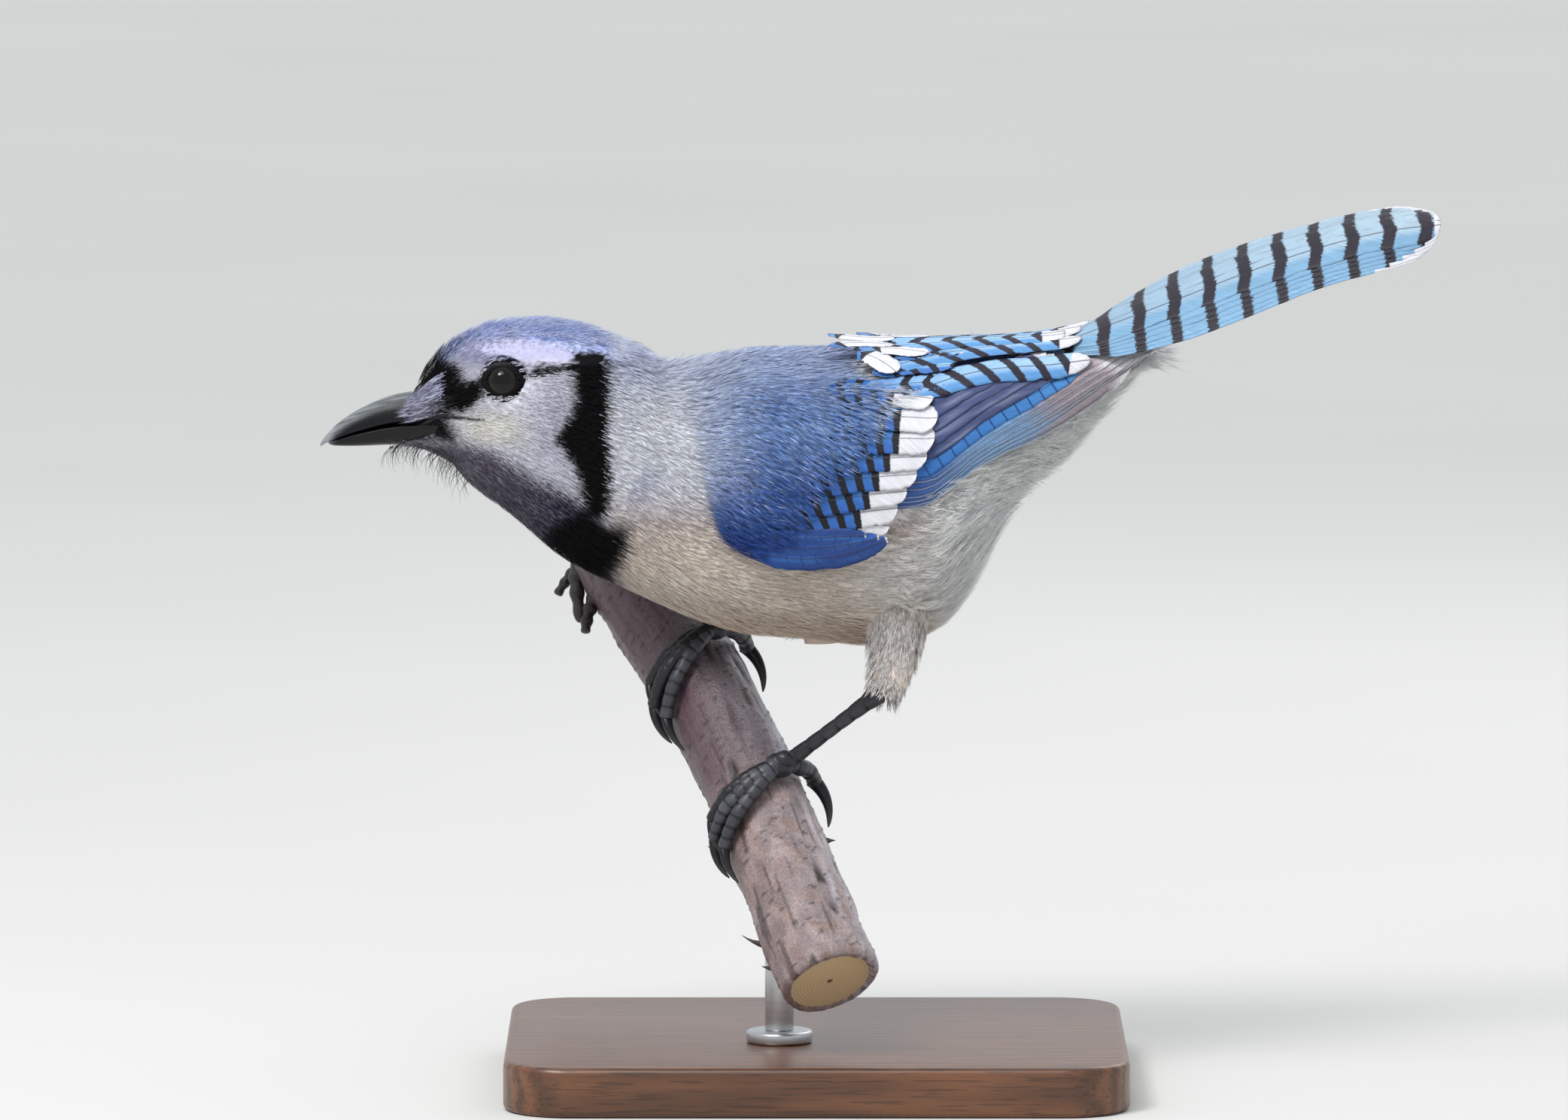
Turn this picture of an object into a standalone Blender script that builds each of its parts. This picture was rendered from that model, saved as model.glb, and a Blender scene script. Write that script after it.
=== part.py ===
"""A blue jay, life size, gripping a cut length of branch on a plain display stand.

The bird faces -X. Its body is built upright and even on both sides, and a roll that grows
towards the tail then tips it a little to its left. Sizes are in millimetres until a mesh is made.
"""

import math

import bmesh
import bpy
from mathutils import Matrix, Vector

MM = 0.001
GAP = 0.3
WELD = 0.01
SHARP_ANGLE = math.radians(35)

# Heights named seen are read in a side view from this far above the level.
VIEW_TILT = math.radians(6)

# Outline of head, neck and trunk from the side: place along X, height.
TOP_LINE = (
    (-98.5, 168.8), (-93.4, 173.8), (-90.3, 177.3), (-83.2, 181.2), (-76.1, 183.4), (-66.6, 183.9),
    (-55.7, 182.4), (-48.0, 179.6), (-40.5, 176.2), (-37.3, 174.9), (-30.2, 176.2), (-14.7, 178.2),
    (3.3, 178.0), (17.0, 177.4), (39.0, 176.4), (56.0, 174.6), (66.0, 177.2), (74.0, 182.6), (82.0, 186.2),
)
BELLY_LINE = (
    (-98.5, 154.8), (-89.0, 151.4), (-83.9, 145.8), (-73.5, 138.0), (-60.8, 127.4), (-46.4, 120.3),
    (-26.4, 111.7), (-15.5, 108.9), (-1.5, 107.9), (12.4, 106.2), (22.0, 106.8), (30.0, 111.0),
    (36.0, 118.5), (41.0, 128.0), (46.0, 138.0), (52.0, 146.5), (59.0, 151.5), (64.6, 157.5),
    (70.6, 164.5), (76.8, 172.0), (82.0, 180.0),
)
WIDEST_HEIGHT = (
    (-98.5, 160.8), (-83.0, 163.5), (-66.0, 160.0), (-50.0, 153.0), (-30.0, 148.0), (0.0, 145.0),
    (25.0, 147.0), (40.0, 157.0), (56.0, 165.0), (70.0, 175.0), (82.0, 183.5),
)
HALF_WIDTH = (
    (-98.5, 5.2), (-95.0, 7.2), (-90.0, 10.2), (-83.0, 13.8), (-76.0, 16.2), (-66.0, 18.2), (-56.0, 19.4),
    (-48.0, 20.4), (-38.0, 22.0), (-30.0, 24.6), (-22.0, 27.0), (-10.0, 29.6), (4.0, 30.8), (17.0, 30.8),
    (29.0, 29.0), (39.0, 25.0), (47.0, 20.2), (56.0, 15.5), (65.0, 12.0), (77.0, 9.0), (82.0, 7.0),
)
SECTION_POWER = 2.15

# Crest, laid back over the crown: its own top line, and how far it spreads down each side, in degrees.
CREST_TOP = (
    (-93.0, 175.6), (-90.3, 179.4), (-83.2, 183.2), (-76.1, 185.6), (-66.6, 186.2), (-55.7, 184.6),
    (-48.0, 182.0), (-38.0, 178.0),
)
CREST_SPREAD = (
    (-93.0, 4.0), (-89.0, 24.0), (-83.0, 40.0), (-70.0, 52.0), (-55.0, 46.0), (-46.0, 26.0),
    (-38.0, 3.0),
)
CREST_EDGE = 1.6
CREST_ROOM = 0.8
CREST_STEPS = 13
CREST_ROWS = 7

# Rings of the body: one at each even step, with more at the outline's keys over the head and neck.
BODY_SIDES = 26
BODY_STEP = 5.2
CLOSEST_RINGS = 1.9
HEAD_KEYS = TOP_LINE[1:11]

# The folded wings lie on this outer shell, whose underside is the trunk's own.
SHELL_TOP = (
    (-30.0, 179.7), (-10.0, 182.0), (4.0, 181.6), (17.0, 181.1), (39.0, 181.6), (56.0, 182.4),
    (65.0, 183.4), (79.0, 184.0),
)
SHELL_HALF_WIDTH = (
    (-30.0, 27.0), (-22.0, 30.2), (-10.0, 32.8), (4.0, 34.0), (17.0, 34.0), (29.0, 32.4), (39.0, 29.6),
    (47.0, 26.4), (56.0, 22.8), (65.0, 18.8), (72.0, 15.8), (79.0, 12.8),
)
WING_THICKNESS = 2.5
TOP_ANGLE = ((30.0, 80.0), (50.0, 70.0), (60.0, 61.0), (80.0, 58.0))

# How far the body is tipped to its left, in degrees, and the height that it turns about.
ROLL = (
    (-60.0, 0.0), (-30.0, 4.0), (0.0, 8.0), (40.0, 10.0), (60.0, 16.0), (75.0, 25.0), (90.0, 30.0),
    (152.0, 31.0),
)
ROLL_HEIGHT = (
    (-98.0, 160.0), (0.0, 146.0), (40.0, 158.0), (58.0, 175.0), (70.0, 184.0), (104.0, 198.0),
    (152.0, 209.0),
)

# Cuts that part the body: a point in the side view and the lean of the cut from upright, in degrees.
HEAD_CUT = (-45.3, 150.0, 12.5)
NECK_CUT = (-19.0, 146.0, 10.0)
RUMP_CUT = (37.0, 150.0, 0.0)

# Bill: place along X, ridge height, gape height, underside height, half width.
BILL_STATIONS = (
    (-98.9, 168.4, 161.2, 155.7, 5.3),
    (-102.4, 167.5, 160.7, 155.4, 4.7),
    (-105.6, 166.3, 160.1, 155.2, 4.0),
    (-109.0, 164.7, 159.2, 155.1, 3.3),
    (-112.4, 162.8, 158.2, 155.1, 2.6),
    (-115.6, 160.5, 157.0, 155.3, 1.8),
    (-118.0, 158.2, 156.1, 155.5, 1.05),
)
BILL_TIP = (-119.6, 156.2, 155.6, 0.3)
BILL_SIDES = 14
# Shares of a blade's height at which the upper and lower blade are widest, from the gape.
UPPER_WIDEST = 0.2
LOWER_WIDEST = 0.3
LOWER_NARROWER = 0.9

EYE_PLACE = (-75.2, 11.4, 171.8)
EYE_RADIUS = 5.2

# Tail: height of its top along X, half width along X, and how its feathers share the width.
TAIL_HEIGHT = (
    (50.0, 178.8), (58.0, 180.2), (69.2, 184.2), (86.5, 190.9), (103.9, 197.8), (117.9, 202.9),
    (128.0, 205.9), (141.6, 208.6), (151.0, 209.2),
)
TAIL_HALF_WIDTH = (
    (50.0, 3.0), (60.0, 6.0), (66.0, 8.0), (71.0, 12.0), (82.0, 14.6), (94.0, 16.0), (104.0, 15.6),
    (121.0, 13.8), (136.0, 12.8), (145.0, 11.6), (151.0, 9.8),
)
TAIL_START = 50.0
TAIL_END = 150.8
TAIL_ROUNDING = 8.0
TAIL_ROUNDING_POWER = 2.6
TAIL_ARCH_POWER = 1.5
TAIL_THICKNESS = 1.5
TAIL_STEPS = 11
TAIL_ROWS = 3
TAIL_ARCH = math.tan(math.radians(7))
TAIL_SHARES = {"tail_left": (-1.0, -0.36), "tail_middle": (-0.33, 0.33), "tail_right": (0.36, 1.0)}

# Panels of the folded wing in the side view: upper and lower edge, front to back, as place and seen
# height.
WING_PANELS = {
    "shoulder": (
        ((-26.4, 160.2), (-18.2, 170.2), (-6.4, 174.7), (7.3, 176.5)),
        ((-27.0, 148.5), (-22.2, 134.9), (-10.0, 134.4), (0.6, 144.2)),
    ),
    "coverts": (
        ((8.4, 180.2), (9.8, 164.0), (7.0, 151.0), (0.2, 140.8), (-7.0, 133.2)),
        ((26.3, 180.6), (29.5, 163.0), (25.6, 151.8), (20.2, 141.2), (14.6, 133.0)),
    ),
    "alula": (
        ((-20.8, 133.4), (-10.0, 132.4), (3.0, 132.0), (15.9, 131.8)),
        ((-17.1, 127.8), (-7.2, 124.8), (3.0, 124.4), (16.4, 130.6)),
    ),
    "tertials": (
        ((27.5, 181.4), (36.0, 182.2), (50.0, 182.0), (63.8, 180.6)),
        ((30.8, 166.2), (41.0, 169.0), (53.6, 172.6), (66.0, 176.6)),
    ),
    "secondaries": (
        ((30.6, 165.2), (41.2, 168.0), (54.0, 171.6), (66.2, 175.7)),
        ((27.2, 152.2), (39.4, 157.8), (53.6, 164.8), (68.4, 171.2)),
    ),
    "primaries": (
        ((26.8, 151.2), (39.4, 156.8), (54.0, 163.9), (69.0, 170.3), (77.0, 174.2)),
        ((20.4, 140.0), (37.4, 147.2), (55.4, 158.0), (71.8, 168.9), (77.8, 173.2)),
    ),
}
PANEL_STEPS = 8
PANEL_ROWS = 5

# Branch: centre line from its upper end down towards the viewer, and its radius at each point.
PERCH_LINE = (
    (-51.0, 48.5, 128.0), (-39.5, 32.5, 111.0), (-28.6, 18.0, 96.0), (-14.2, -6.0, 69.6), (-5.1, -24.0, 49.0),
    (3.1, -41.0, 30.4),
)
PERCH_RADII = (11.3, 11.6, 11.7, 11.6, 11.8, 12.2)
PERCH_POINTS = 20
PERCH_SIDES = 16

# Legs: where each heel stands, how far along the branch each foot grips, and the thickness of the parts.
HEELS = {"left": (15.2, -23.0, 97.6), "right": (9.5, 17.5, 114.0)}
THIGH_TOPS = {"left": (19.0, -10.0, 121.0), "right": (16.3, 15.4, 121.3)}
THIGH_MIDS = {"left": (18.8, -17.0, 106.0), "right": (8.2, 17.2, 111.2)}
THIGH_ENDS = {"left": (17.2, -22.0, 97.6), "right": (-4.0, 15.9, 108.7)}
THIGH_RADII = (7.6, 6.2, 4.6)
THIGH_POINTS = 8
GRIP_PLACES = {"left": 0.608, "right": 0.375}
TARSUS_RADII = (2.1, 1.6, 1.45, 1.5, 1.9)
ANKLE_ANGLE = -3
ANKLE_RAISE = 4.0
PAD_RAISE = 3.5
PAD_RADII = (3.2, 3.4, 2.9)

# Toes: first and last angle round the branch from its top, drift along it, length of claw, thickness.
TOES = {
    "inner": (4, 90, 4.6, 7.5, 1.85),
    "middle": (4, 98, 0.4, 8.5, 2.0),
    "outer": (4, 88, -4.0, 7.5, 1.8),
    "hind": (-5, -62, 0.5, 10.0, 2.1),
}
TOE_POINTS = 8
# How far down the branch the front toes run, how they spread, and how they thin towards the claw.
TOE_SLOPE = 8.0
TOE_SPREAD_POWER = 0.8
TOE_TAPER = 0.22
TOE_RISE = 0.7
KNUCKLES = 3
KNUCKLE_SWELL = 0.1
CLAW_POINTS = 6
CLAW_RADIUS = 1.05
CLAW_TIP_RADIUS = 0.22
CLAW_TAPER_POWER = 0.8
CLAW_CLEARANCE = 0.1
CLAW_BEND = 52.0

BASE_SIZE = (150.0, 124.0, 12.0)
BASE_CORNER = 16.0
BASE_EDGE = 1.5
ROD_PLACE = (-8.9, -16.8)
ROD_RADIUS = 3.5
ROD_TOP = 52.0
COLLAR_RADIUS = 8.0
COLLAR_HEIGHT = 3.0


def clear_scene():
    for obj in list(bpy.data.objects):
        bpy.data.objects.remove(obj, do_unlink=True)


def make_collection(name):
    collection = bpy.data.collections.new(name)
    bpy.context.scene.collection.children.link(collection)
    return collection


def value_at(keys, x):
    """A smooth line through the keys that never swings past one, read at x."""
    if x <= keys[0][0]:
        return keys[0][1]
    if x >= keys[-1][0]:
        return keys[-1][1]
    index = max(i for i, key in enumerate(keys) if key[0] <= x)
    index = min(index, len(keys) - 2)
    (x0, y0), (x1, y1) = keys[index], keys[index + 1]
    width = x1 - x0

    def secant(i):
        return (keys[i + 1][1] - keys[i][1]) / (keys[i + 1][0] - keys[i][0])

    def slope(i):
        if i == 0 or i == len(keys) - 1:
            return secant(min(i, len(keys) - 2))
        before, after = secant(i - 1), secant(i)
        if before * after <= 0:
            return 0.0
        return 2 * before * after / (before + after)

    t = (x - x0) / width
    start, end = slope(index) * width, slope(index + 1) * width
    return (
        y0 * (2 * t**3 - 3 * t**2 + 1)
        + start * (t**3 - 2 * t**2 + t)
        + y1 * (3 * t**2 - 2 * t**3)
        + end * (t**3 - t**2)
    )


def signed_power(value, power):
    return math.copysign(abs(value) ** power, value)


def section_point(angle, top, low, wide, half):
    """A point of an egg-shaped cross section: its distance from the middle and its height."""
    across = half * signed_power(math.cos(angle), 2 / SECTION_POWER)
    rise = top - wide if math.sin(angle) > 0 else wide - low
    return across, wide + rise * signed_power(math.sin(angle), 2 / SECTION_POWER)


def rolled(x, y, z):
    """The place of an upright point once the body is tipped to its left."""
    roll = math.radians(value_at(ROLL, x))
    pivot = value_at(ROLL_HEIGHT, x)
    rise = z - pivot
    return Vector((
        x,
        y * math.cos(roll) - rise * math.sin(roll),
        pivot + y * math.sin(roll) + rise * math.cos(roll),
    ))


def body_ring(x, grow=0.0):
    top, low = value_at(TOP_LINE, x) + grow, value_at(BELLY_LINE, x) - grow
    wide, half = value_at(WIDEST_HEIGHT, x), value_at(HALF_WIDTH, x) + grow
    ring = []
    for i in range(BODY_SIDES):
        across, height = section_point(2 * math.pi * i / BODY_SIDES, top, low, wide, half)
        ring.append(rolled(x, across, height))
    return ring


def shell_point(x, angle, depth, side):
    """A point of the wings' shell, some depth under its outside; side is -1 left and 1 right."""
    across, height = section_point(
        angle,
        value_at(SHELL_TOP, x) - depth,
        value_at(BELLY_LINE, x),
        value_at(WIDEST_HEIGHT, x),
        value_at(SHELL_HALF_WIDTH, x) - depth,
    )
    return rolled(x, side * across, height)


def seen_height(point):
    return point.z * math.cos(VIEW_TILT) + point.y * math.sin(VIEW_TILT)


def shell_angle(x, height):
    """The angle round the shell where its left side is seen at this height."""
    high = math.radians(value_at(TOP_ANGLE, x))
    low = -math.pi / 2
    for _ in range(30):
        middle = (low + high) / 2
        if seen_height(shell_point(x, middle, 0.0, -1)) < height:
            low = middle
        else:
            high = middle
    return (low + high) / 2


def in_metres(points):
    return [Vector(p) * MM for p in points]


def mesh_object(name, bm, collection, material=None):
    bmesh.ops.recalc_face_normals(bm, faces=bm.faces)
    mesh = bpy.data.meshes.new(name)
    bm.to_mesh(mesh)
    bm.free()
    mesh.shade_smooth()
    mesh.set_sharp_from_angle(angle=SHARP_ANGLE)
    obj = bpy.data.objects.new(name, mesh)
    collection.objects.link(obj)
    if material is not None:
        mesh.materials.append(material)
    return obj


def loft(rings):
    """A closed skin through rings of equal count, with a flat cap on each end."""
    bm = bmesh.new()
    rows = [[bm.verts.new(p) for p in in_metres(ring)] for ring in rings]
    count = len(rows[0])
    for row, following in zip(rows, rows[1:]):
        for i in range(count):
            j = (i + 1) % count
            bm.faces.new((row[i], row[j], following[j], following[i]))
    bm.faces.new(rows[0])
    bm.faces.new(list(reversed(rows[-1])))
    return bm


def slab(outer, inner):
    """A closed plate between two grids of points of the same size."""
    bm = bmesh.new()
    tops = [[bm.verts.new(p) for p in in_metres(row)] for row in outer]
    lows = [[bm.verts.new(p) for p in in_metres(row)] for row in inner]
    rows, columns = len(tops), len(tops[0])
    for r in range(rows - 1):
        for c in range(columns - 1):
            bm.faces.new((tops[r][c], tops[r][c + 1], tops[r + 1][c + 1], tops[r + 1][c]))
            bm.faces.new((lows[r][c], lows[r + 1][c], lows[r + 1][c + 1], lows[r][c + 1]))
    rim = [(0, c) for c in range(columns)]
    rim += [(r, columns - 1) for r in range(1, rows)]
    rim += [(rows - 1, c) for c in range(columns - 2, -1, -1)]
    rim += [(r, 0) for r in range(rows - 2, 0, -1)]
    for (r, c), (s, d) in zip(rim, rim[1:] + rim[:1]):
        bm.faces.new((tops[r][c], lows[r][c], lows[s][d], tops[s][d]))
    return bm


def tube(name, path, radii, sides, collection, material=None):
    """A round bar along a path with its own radius at each point, as one welded mesh."""
    curve = bpy.data.curves.new(name, "CURVE")
    curve.dimensions = "3D"
    curve.bevel_depth = MM
    curve.bevel_resolution = (sides - 4) // 2
    curve.use_fill_caps = True
    spline = curve.splines.new("POLY")
    spline.points.add(len(path) - 1)
    for point, place, radius in zip(spline.points, in_metres(path), radii):
        point.co = (*place, 1.0)
        point.radius = radius
    guide = bpy.data.objects.new(name + "_guide", curve)
    collection.objects.link(guide)
    bpy.context.view_layer.update()
    evaluated = guide.evaluated_get(bpy.context.evaluated_depsgraph_get())
    mesh = bpy.data.meshes.new_from_object(evaluated)
    bm = bmesh.new()
    bm.from_mesh(mesh)
    bmesh.ops.remove_doubles(bm, verts=bm.verts, dist=WELD * MM)
    bpy.data.meshes.remove(mesh)
    bpy.data.objects.remove(guide, do_unlink=True)
    return mesh_object(name, bm, collection, material)


def as_cutter(obj):
    obj.hide_render = True
    obj.display_type = "WIRE"
    return obj


def combine(obj, other, operation):
    modifier = obj.modifiers.new(operation.lower() + "_" + other.name, "BOOLEAN")
    modifier.operation = operation
    modifier.solver = "EXACT"
    modifier.object = other


def make_material(name, colour, roughness, metallic=0.0):
    material = bpy.data.materials.new(name)
    material.use_nodes = True
    shader = material.node_tree.nodes["Principled BSDF"]
    shader.inputs["Base Color"].default_value = (*colour, 1.0)
    shader.inputs["Roughness"].default_value = roughness
    shader.inputs["Metallic"].default_value = metallic
    return material


def along(points, values, count):
    """Points at even steps on a smooth line through the given ones, with their values between."""
    result = []
    for i in range(count):
        place = (len(points) - 1) * i / (count - 1)
        index = min(int(place), len(points) - 2)
        t = place - index
        corners = [Vector(points[max(0, min(len(points) - 1, index + k))]) for k in (-1, 0, 1, 2)]
        a, b, c, d = corners
        smooth = 0.5 * (
            2 * b + (c - a) * t + (2 * a - 5 * b + 4 * c - d) * t**2 + (3 * b - a - 3 * c + d) * t**3
        )
        result.append((smooth, values[index] * (1 - t) + values[index + 1] * t))
    return [p for p, _ in result], [v for _, v in result]


def add_body(part, cutters, plumage):
    """Head, neck, trunk and rump: one form, parted by thin cuts."""
    start, end = TOP_LINE[0][0], TOP_LINE[-1][0]
    count = round((end - start) / BODY_STEP)
    places = [start + (end - start) * i / count for i in range(count + 1)]
    places = sorted(places + [key[0] for key in HEAD_KEYS])
    spaced = [places[0]]
    for place in places[1:]:
        if place - spaced[-1] > CLOSEST_RINGS:
            spaced.append(place)
    spaced[-1] = end
    grown = as_cutter(mesh_object("body_room", loft([body_ring(x, GAP) for x in spaced]), cutters))

    def piece(name, material, front=None, back=None):
        bm = loft([body_ring(x) for x in spaced])
        for cut, keep_behind in ((front, True), (back, False)):
            if cut is None:
                continue
            x, z, lean = cut
            normal = Vector((math.cos(math.radians(lean)), 0.0, -math.sin(math.radians(lean))))
            if keep_behind:
                normal = -normal
            place = Vector((x, 0.0, z)) * MM - normal * GAP * MM / 2
            geometry = list(bm.verts) + list(bm.edges) + list(bm.faces)
            bmesh.ops.bisect_plane(bm, geom=geometry, plane_co=place, plane_no=normal, clear_outer=True)
            rim = [edge for edge in bm.edges if edge.is_boundary]
            bmesh.ops.holes_fill(bm, edges=rim)
        return mesh_object(name, bm, part, material)

    head = piece("head", plumage["face"], back=HEAD_CUT)
    piece("neck", plumage["neck"], front=HEAD_CUT, back=NECK_CUT)
    piece("trunk", plumage["belly"], front=NECK_CUT, back=RUMP_CUT)
    piece("rump", plumage["vent"], front=RUMP_CUT)
    return head, grown


def crest_point(x, angle, grow, top_keys):
    across, height = section_point(
        angle,
        value_at(top_keys, x) + (grow if top_keys is TOP_LINE else 0.0),
        value_at(BELLY_LINE, x),
        value_at(WIDEST_HEIGHT, x),
        value_at(HALF_WIDTH, x) + grow,
    )
    return rolled(x, across, height)


def add_crest(part, material):
    """A thin leaf-shaped pad of long feathers over the crown, with its point over the nape."""
    start, end = CREST_TOP[0][0], CREST_TOP[-1][0]
    outer, inner = [], []
    for step in range(CREST_STEPS):
        x = start + (end - start) * step / (CREST_STEPS - 1)
        spread = math.radians(value_at(CREST_SPREAD, x))
        angles = [math.pi / 2 + spread * (2 * k / (CREST_ROWS - 1) - 1) for k in range(CREST_ROWS)]
        outer.append([crest_point(x, angle, CREST_EDGE, CREST_TOP) for angle in angles])
        inner.append([crest_point(x, angle, CREST_ROOM, TOP_LINE) for angle in angles])
    mesh_object("crest", slab(outer, inner), part, material)


def add_eyes(part, cutters, head, material):
    for name, side in (("left", -1), ("right", 1)):
        x, y, z = EYE_PLACE
        for label, radius, collection in (
            ("eye_", EYE_RADIUS, part),
            ("eye_room_", EYE_RADIUS + GAP, cutters),
        ):
            bm = bmesh.new()
            bmesh.ops.create_uvsphere(
                bm,
                u_segments=16,
                v_segments=10,
                radius=radius * MM,
                matrix=Matrix.Translation(Vector((x, side * y, z)) * MM) @ Matrix.Rotation(math.pi / 2, 4, "X"),
            )
            eye = mesh_object(label + name, bm, collection, material if collection is part else None)
        combine(head, as_cutter(eye), "DIFFERENCE")


def add_bill(part, material):
    """Two horny blades that meet along the gape, the upper a little longer and hooked."""
    def ring(x, top, low, wide, half):
        points = []
        for i in range(BILL_SIDES):
            across, height = section_point(2 * math.pi * i / BILL_SIDES, top, low, wide, half)
            points.append(Vector((x, across, height)))
        return points

    upper, lower = [], []
    for x, ridge, gape, under, half in BILL_STATIONS:
        lip = UPPER_WIDEST * (ridge - gape)
        upper.append(ring(x, ridge, gape + GAP / 2, gape + GAP / 2 + lip, half))
        chin = LOWER_WIDEST * (gape - under)
        lower.append(ring(x, gape - GAP / 2, under, gape - GAP / 2 - chin, half * LOWER_NARROWER))
    tip_x, tip_top, tip_low, tip_half = BILL_TIP
    upper.append(ring(tip_x, tip_top, tip_low, (tip_top + tip_low) / 2, tip_half))
    mesh_object("bill_upper", loft(upper), part, material)
    mesh_object("bill_lower", loft(lower[:-1]), part, material)


def edge_at(edge, place):
    index = min(int(place), len(edge) - 2)
    t = place - index
    (x0, z0), (x1, z1) = edge[index], edge[index + 1]
    return x0 + (x1 - x0) * t, z0 + (z1 - z0) * t


def add_wings(part, plumage):
    """Each folded wing: plates of feathers side by side on the shell round the trunk."""
    for panel, (upper, lower) in WING_PANELS.items():
        grid = []
        for step in range(PANEL_STEPS):
            along_edge = (len(upper) - 1) * step / (PANEL_STEPS - 1)
            (x0, z0), (x1, z1) = edge_at(upper, along_edge), edge_at(lower, along_edge)
            row = []
            for k in range(PANEL_ROWS):
                t = k / (PANEL_ROWS - 1)
                x, z = x0 + (x1 - x0) * t, z0 + (z1 - z0) * t
                row.append((x, shell_angle(x, z)))
            grid.append(row)
        for name, side in (("left", -1), ("right", 1)):
            outer = [[shell_point(x, angle, 0.0, side) for x, angle in row] for row in grid]
            inner = [[shell_point(x, angle, WING_THICKNESS, side) for x, angle in row] for row in grid]
            mesh_object(f"wing_{name}_{panel}", slab(outer, inner), part, plumage["wing"])


def tail_point(x, share, depth):
    half = value_at(TAIL_HALF_WIDTH, x)
    drop = TAIL_ARCH * half * abs(share) ** TAIL_ARCH_POWER
    return rolled(x, half * share, value_at(TAIL_HEIGHT, x) - drop - depth)


def add_tail(part, plumage):
    """Folded tail feathers in three long plates, arched across and rounded at the end."""
    for name, (first, last) in TAIL_SHARES.items():
        outer, inner = [], []
        for k in range(TAIL_ROWS + 1):
            share = first + (last - first) * k / TAIL_ROWS
            end = TAIL_END - TAIL_ROUNDING * abs(share) ** TAIL_ROUNDING_POWER
            line = [TAIL_START + (end - TAIL_START) * i / TAIL_STEPS for i in range(TAIL_STEPS + 1)]
            outer.append([tail_point(x, share, 0.0) for x in line])
            inner.append([tail_point(x, share, TAIL_THICKNESS) for x in line])
        mesh_object(name, slab(outer, inner), part, plumage["tail"])


def perch_frame(share):
    """Centre, direction, top and front of the branch at a share of its length, and its radius."""
    points, radii = along(PERCH_LINE, PERCH_RADII, 401)
    index = round(share * 400)
    centre = points[index]
    direction = (points[max(index - 2, 0)] - points[min(index + 2, 400)]).normalized()
    top = (Vector((0, 0, 1)) - direction * direction.z).normalized()
    front = -direction.cross(top)
    return centre, direction, top, front, radii[index]


def round_perch(share, angle, raise_by):
    """A point over the bark, turned from the branch's top towards its front by an angle in degrees."""
    centre, _, top, front, radius = perch_frame(share)
    turn = math.radians(angle)
    return centre + (top * math.cos(turn) + front * math.sin(turn)) * (radius + raise_by)


def add_perch(part, cutters, material):
    path, radii = along(PERCH_LINE, PERCH_RADII, PERCH_POINTS)
    tube("perch", path, radii, PERCH_SIDES, part, material)
    room = tube("perch_room", path, [r + GAP for r in radii], PERCH_SIDES, cutters)
    return as_cutter(room)


def perch_length():
    points, _ = along(PERCH_LINE, PERCH_RADII, 101)
    return sum((b - a).length for a, b in zip(points, points[1:]))


def add_foot(side, part, cutters, skin, horn):
    """Pad and four toes wrapped round the branch as one piece, each toe with its claw."""
    length = perch_length()
    grip = GRIP_PLACES[side]
    mirror = 1 if side == "left" else -1
    _, direction, top, front, _ = perch_frame(grip)
    pads = []
    for label, grow, collection in (("foot_", 0.0, part), ("foot_room_", GAP, cutters)):
        bm = bmesh.new()
        bmesh.ops.create_uvsphere(bm, u_segments=14, v_segments=8, radius=1.0)
        scale = Matrix.Diagonal([(r + grow) * MM for r in PAD_RADII]).to_4x4()
        turn = Matrix((direction, front, top)).transposed().to_4x4()
        place = Matrix.Translation(round_perch(grip, 0, PAD_RAISE) * MM)
        bmesh.ops.transform(bm, matrix=place @ turn @ scale, verts=bm.verts)
        pads.append(mesh_object(label + side, bm, collection, skin if collection is part else None))
    foot, rooms = pads[0], [as_cutter(pads[1])]
    for toe, (first, last, drift, claw, thickness) in TOES.items():
        slope = TOE_SLOPE if last > first else 0.0
        path, radii = [], []
        for i in range(TOE_POINTS):
            t = i / (TOE_POINTS - 1)
            swell = 1 + KNUCKLE_SWELL * math.cos(2 * math.pi * KNUCKLES * t)
            share = grip + (slope * t - mirror * drift * t**TOE_SPREAD_POWER) / length
            lift = GAP + (1 + KNUCKLE_SWELL) * thickness + TOE_RISE * (1 - t) ** 2
            path.append(round_perch(share, first + (last - first) * t, lift))
            radii.append(thickness * (1 - TOE_TAPER * t) * swell)
        toe_piece = tube(f"toe_{side}_{toe}", path, radii, 8, cutters)
        combine(foot, as_cutter(toe_piece), "UNION")
        room = tube(f"toe_room_{side}_{toe}", path, [r + GAP for r in radii], 8, cutters)
        rooms.append(as_cutter(room))
        add_claw(f"claw_{side}_{toe}", path, claw, part, horn)
    return rooms


def add_claw(name, toe_path, length, part, material):
    """A curved spike that carries on from the toe and bends in towards the bark."""
    tip, before = toe_path[-1], toe_path[-2]
    heading = (tip - before).normalized()
    bend_axis = (before - toe_path[-3]).cross(tip - before).normalized()
    place = tip + heading * (GAP + CLAW_CLEARANCE)
    path, radii = [place], [CLAW_RADIUS]
    for i in range(1, CLAW_POINTS):
        t = i / (CLAW_POINTS - 1)
        heading = Matrix.Rotation(math.radians(CLAW_BEND / (CLAW_POINTS - 1)), 3, bend_axis) @ heading
        place = place + heading * length / (CLAW_POINTS - 1)
        path.append(place)
        radii.append(CLAW_RADIUS * (1 - t) ** CLAW_TAPER_POWER + CLAW_TIP_RADIUS)
    tube(name, path, radii, 6, part, material)


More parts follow.
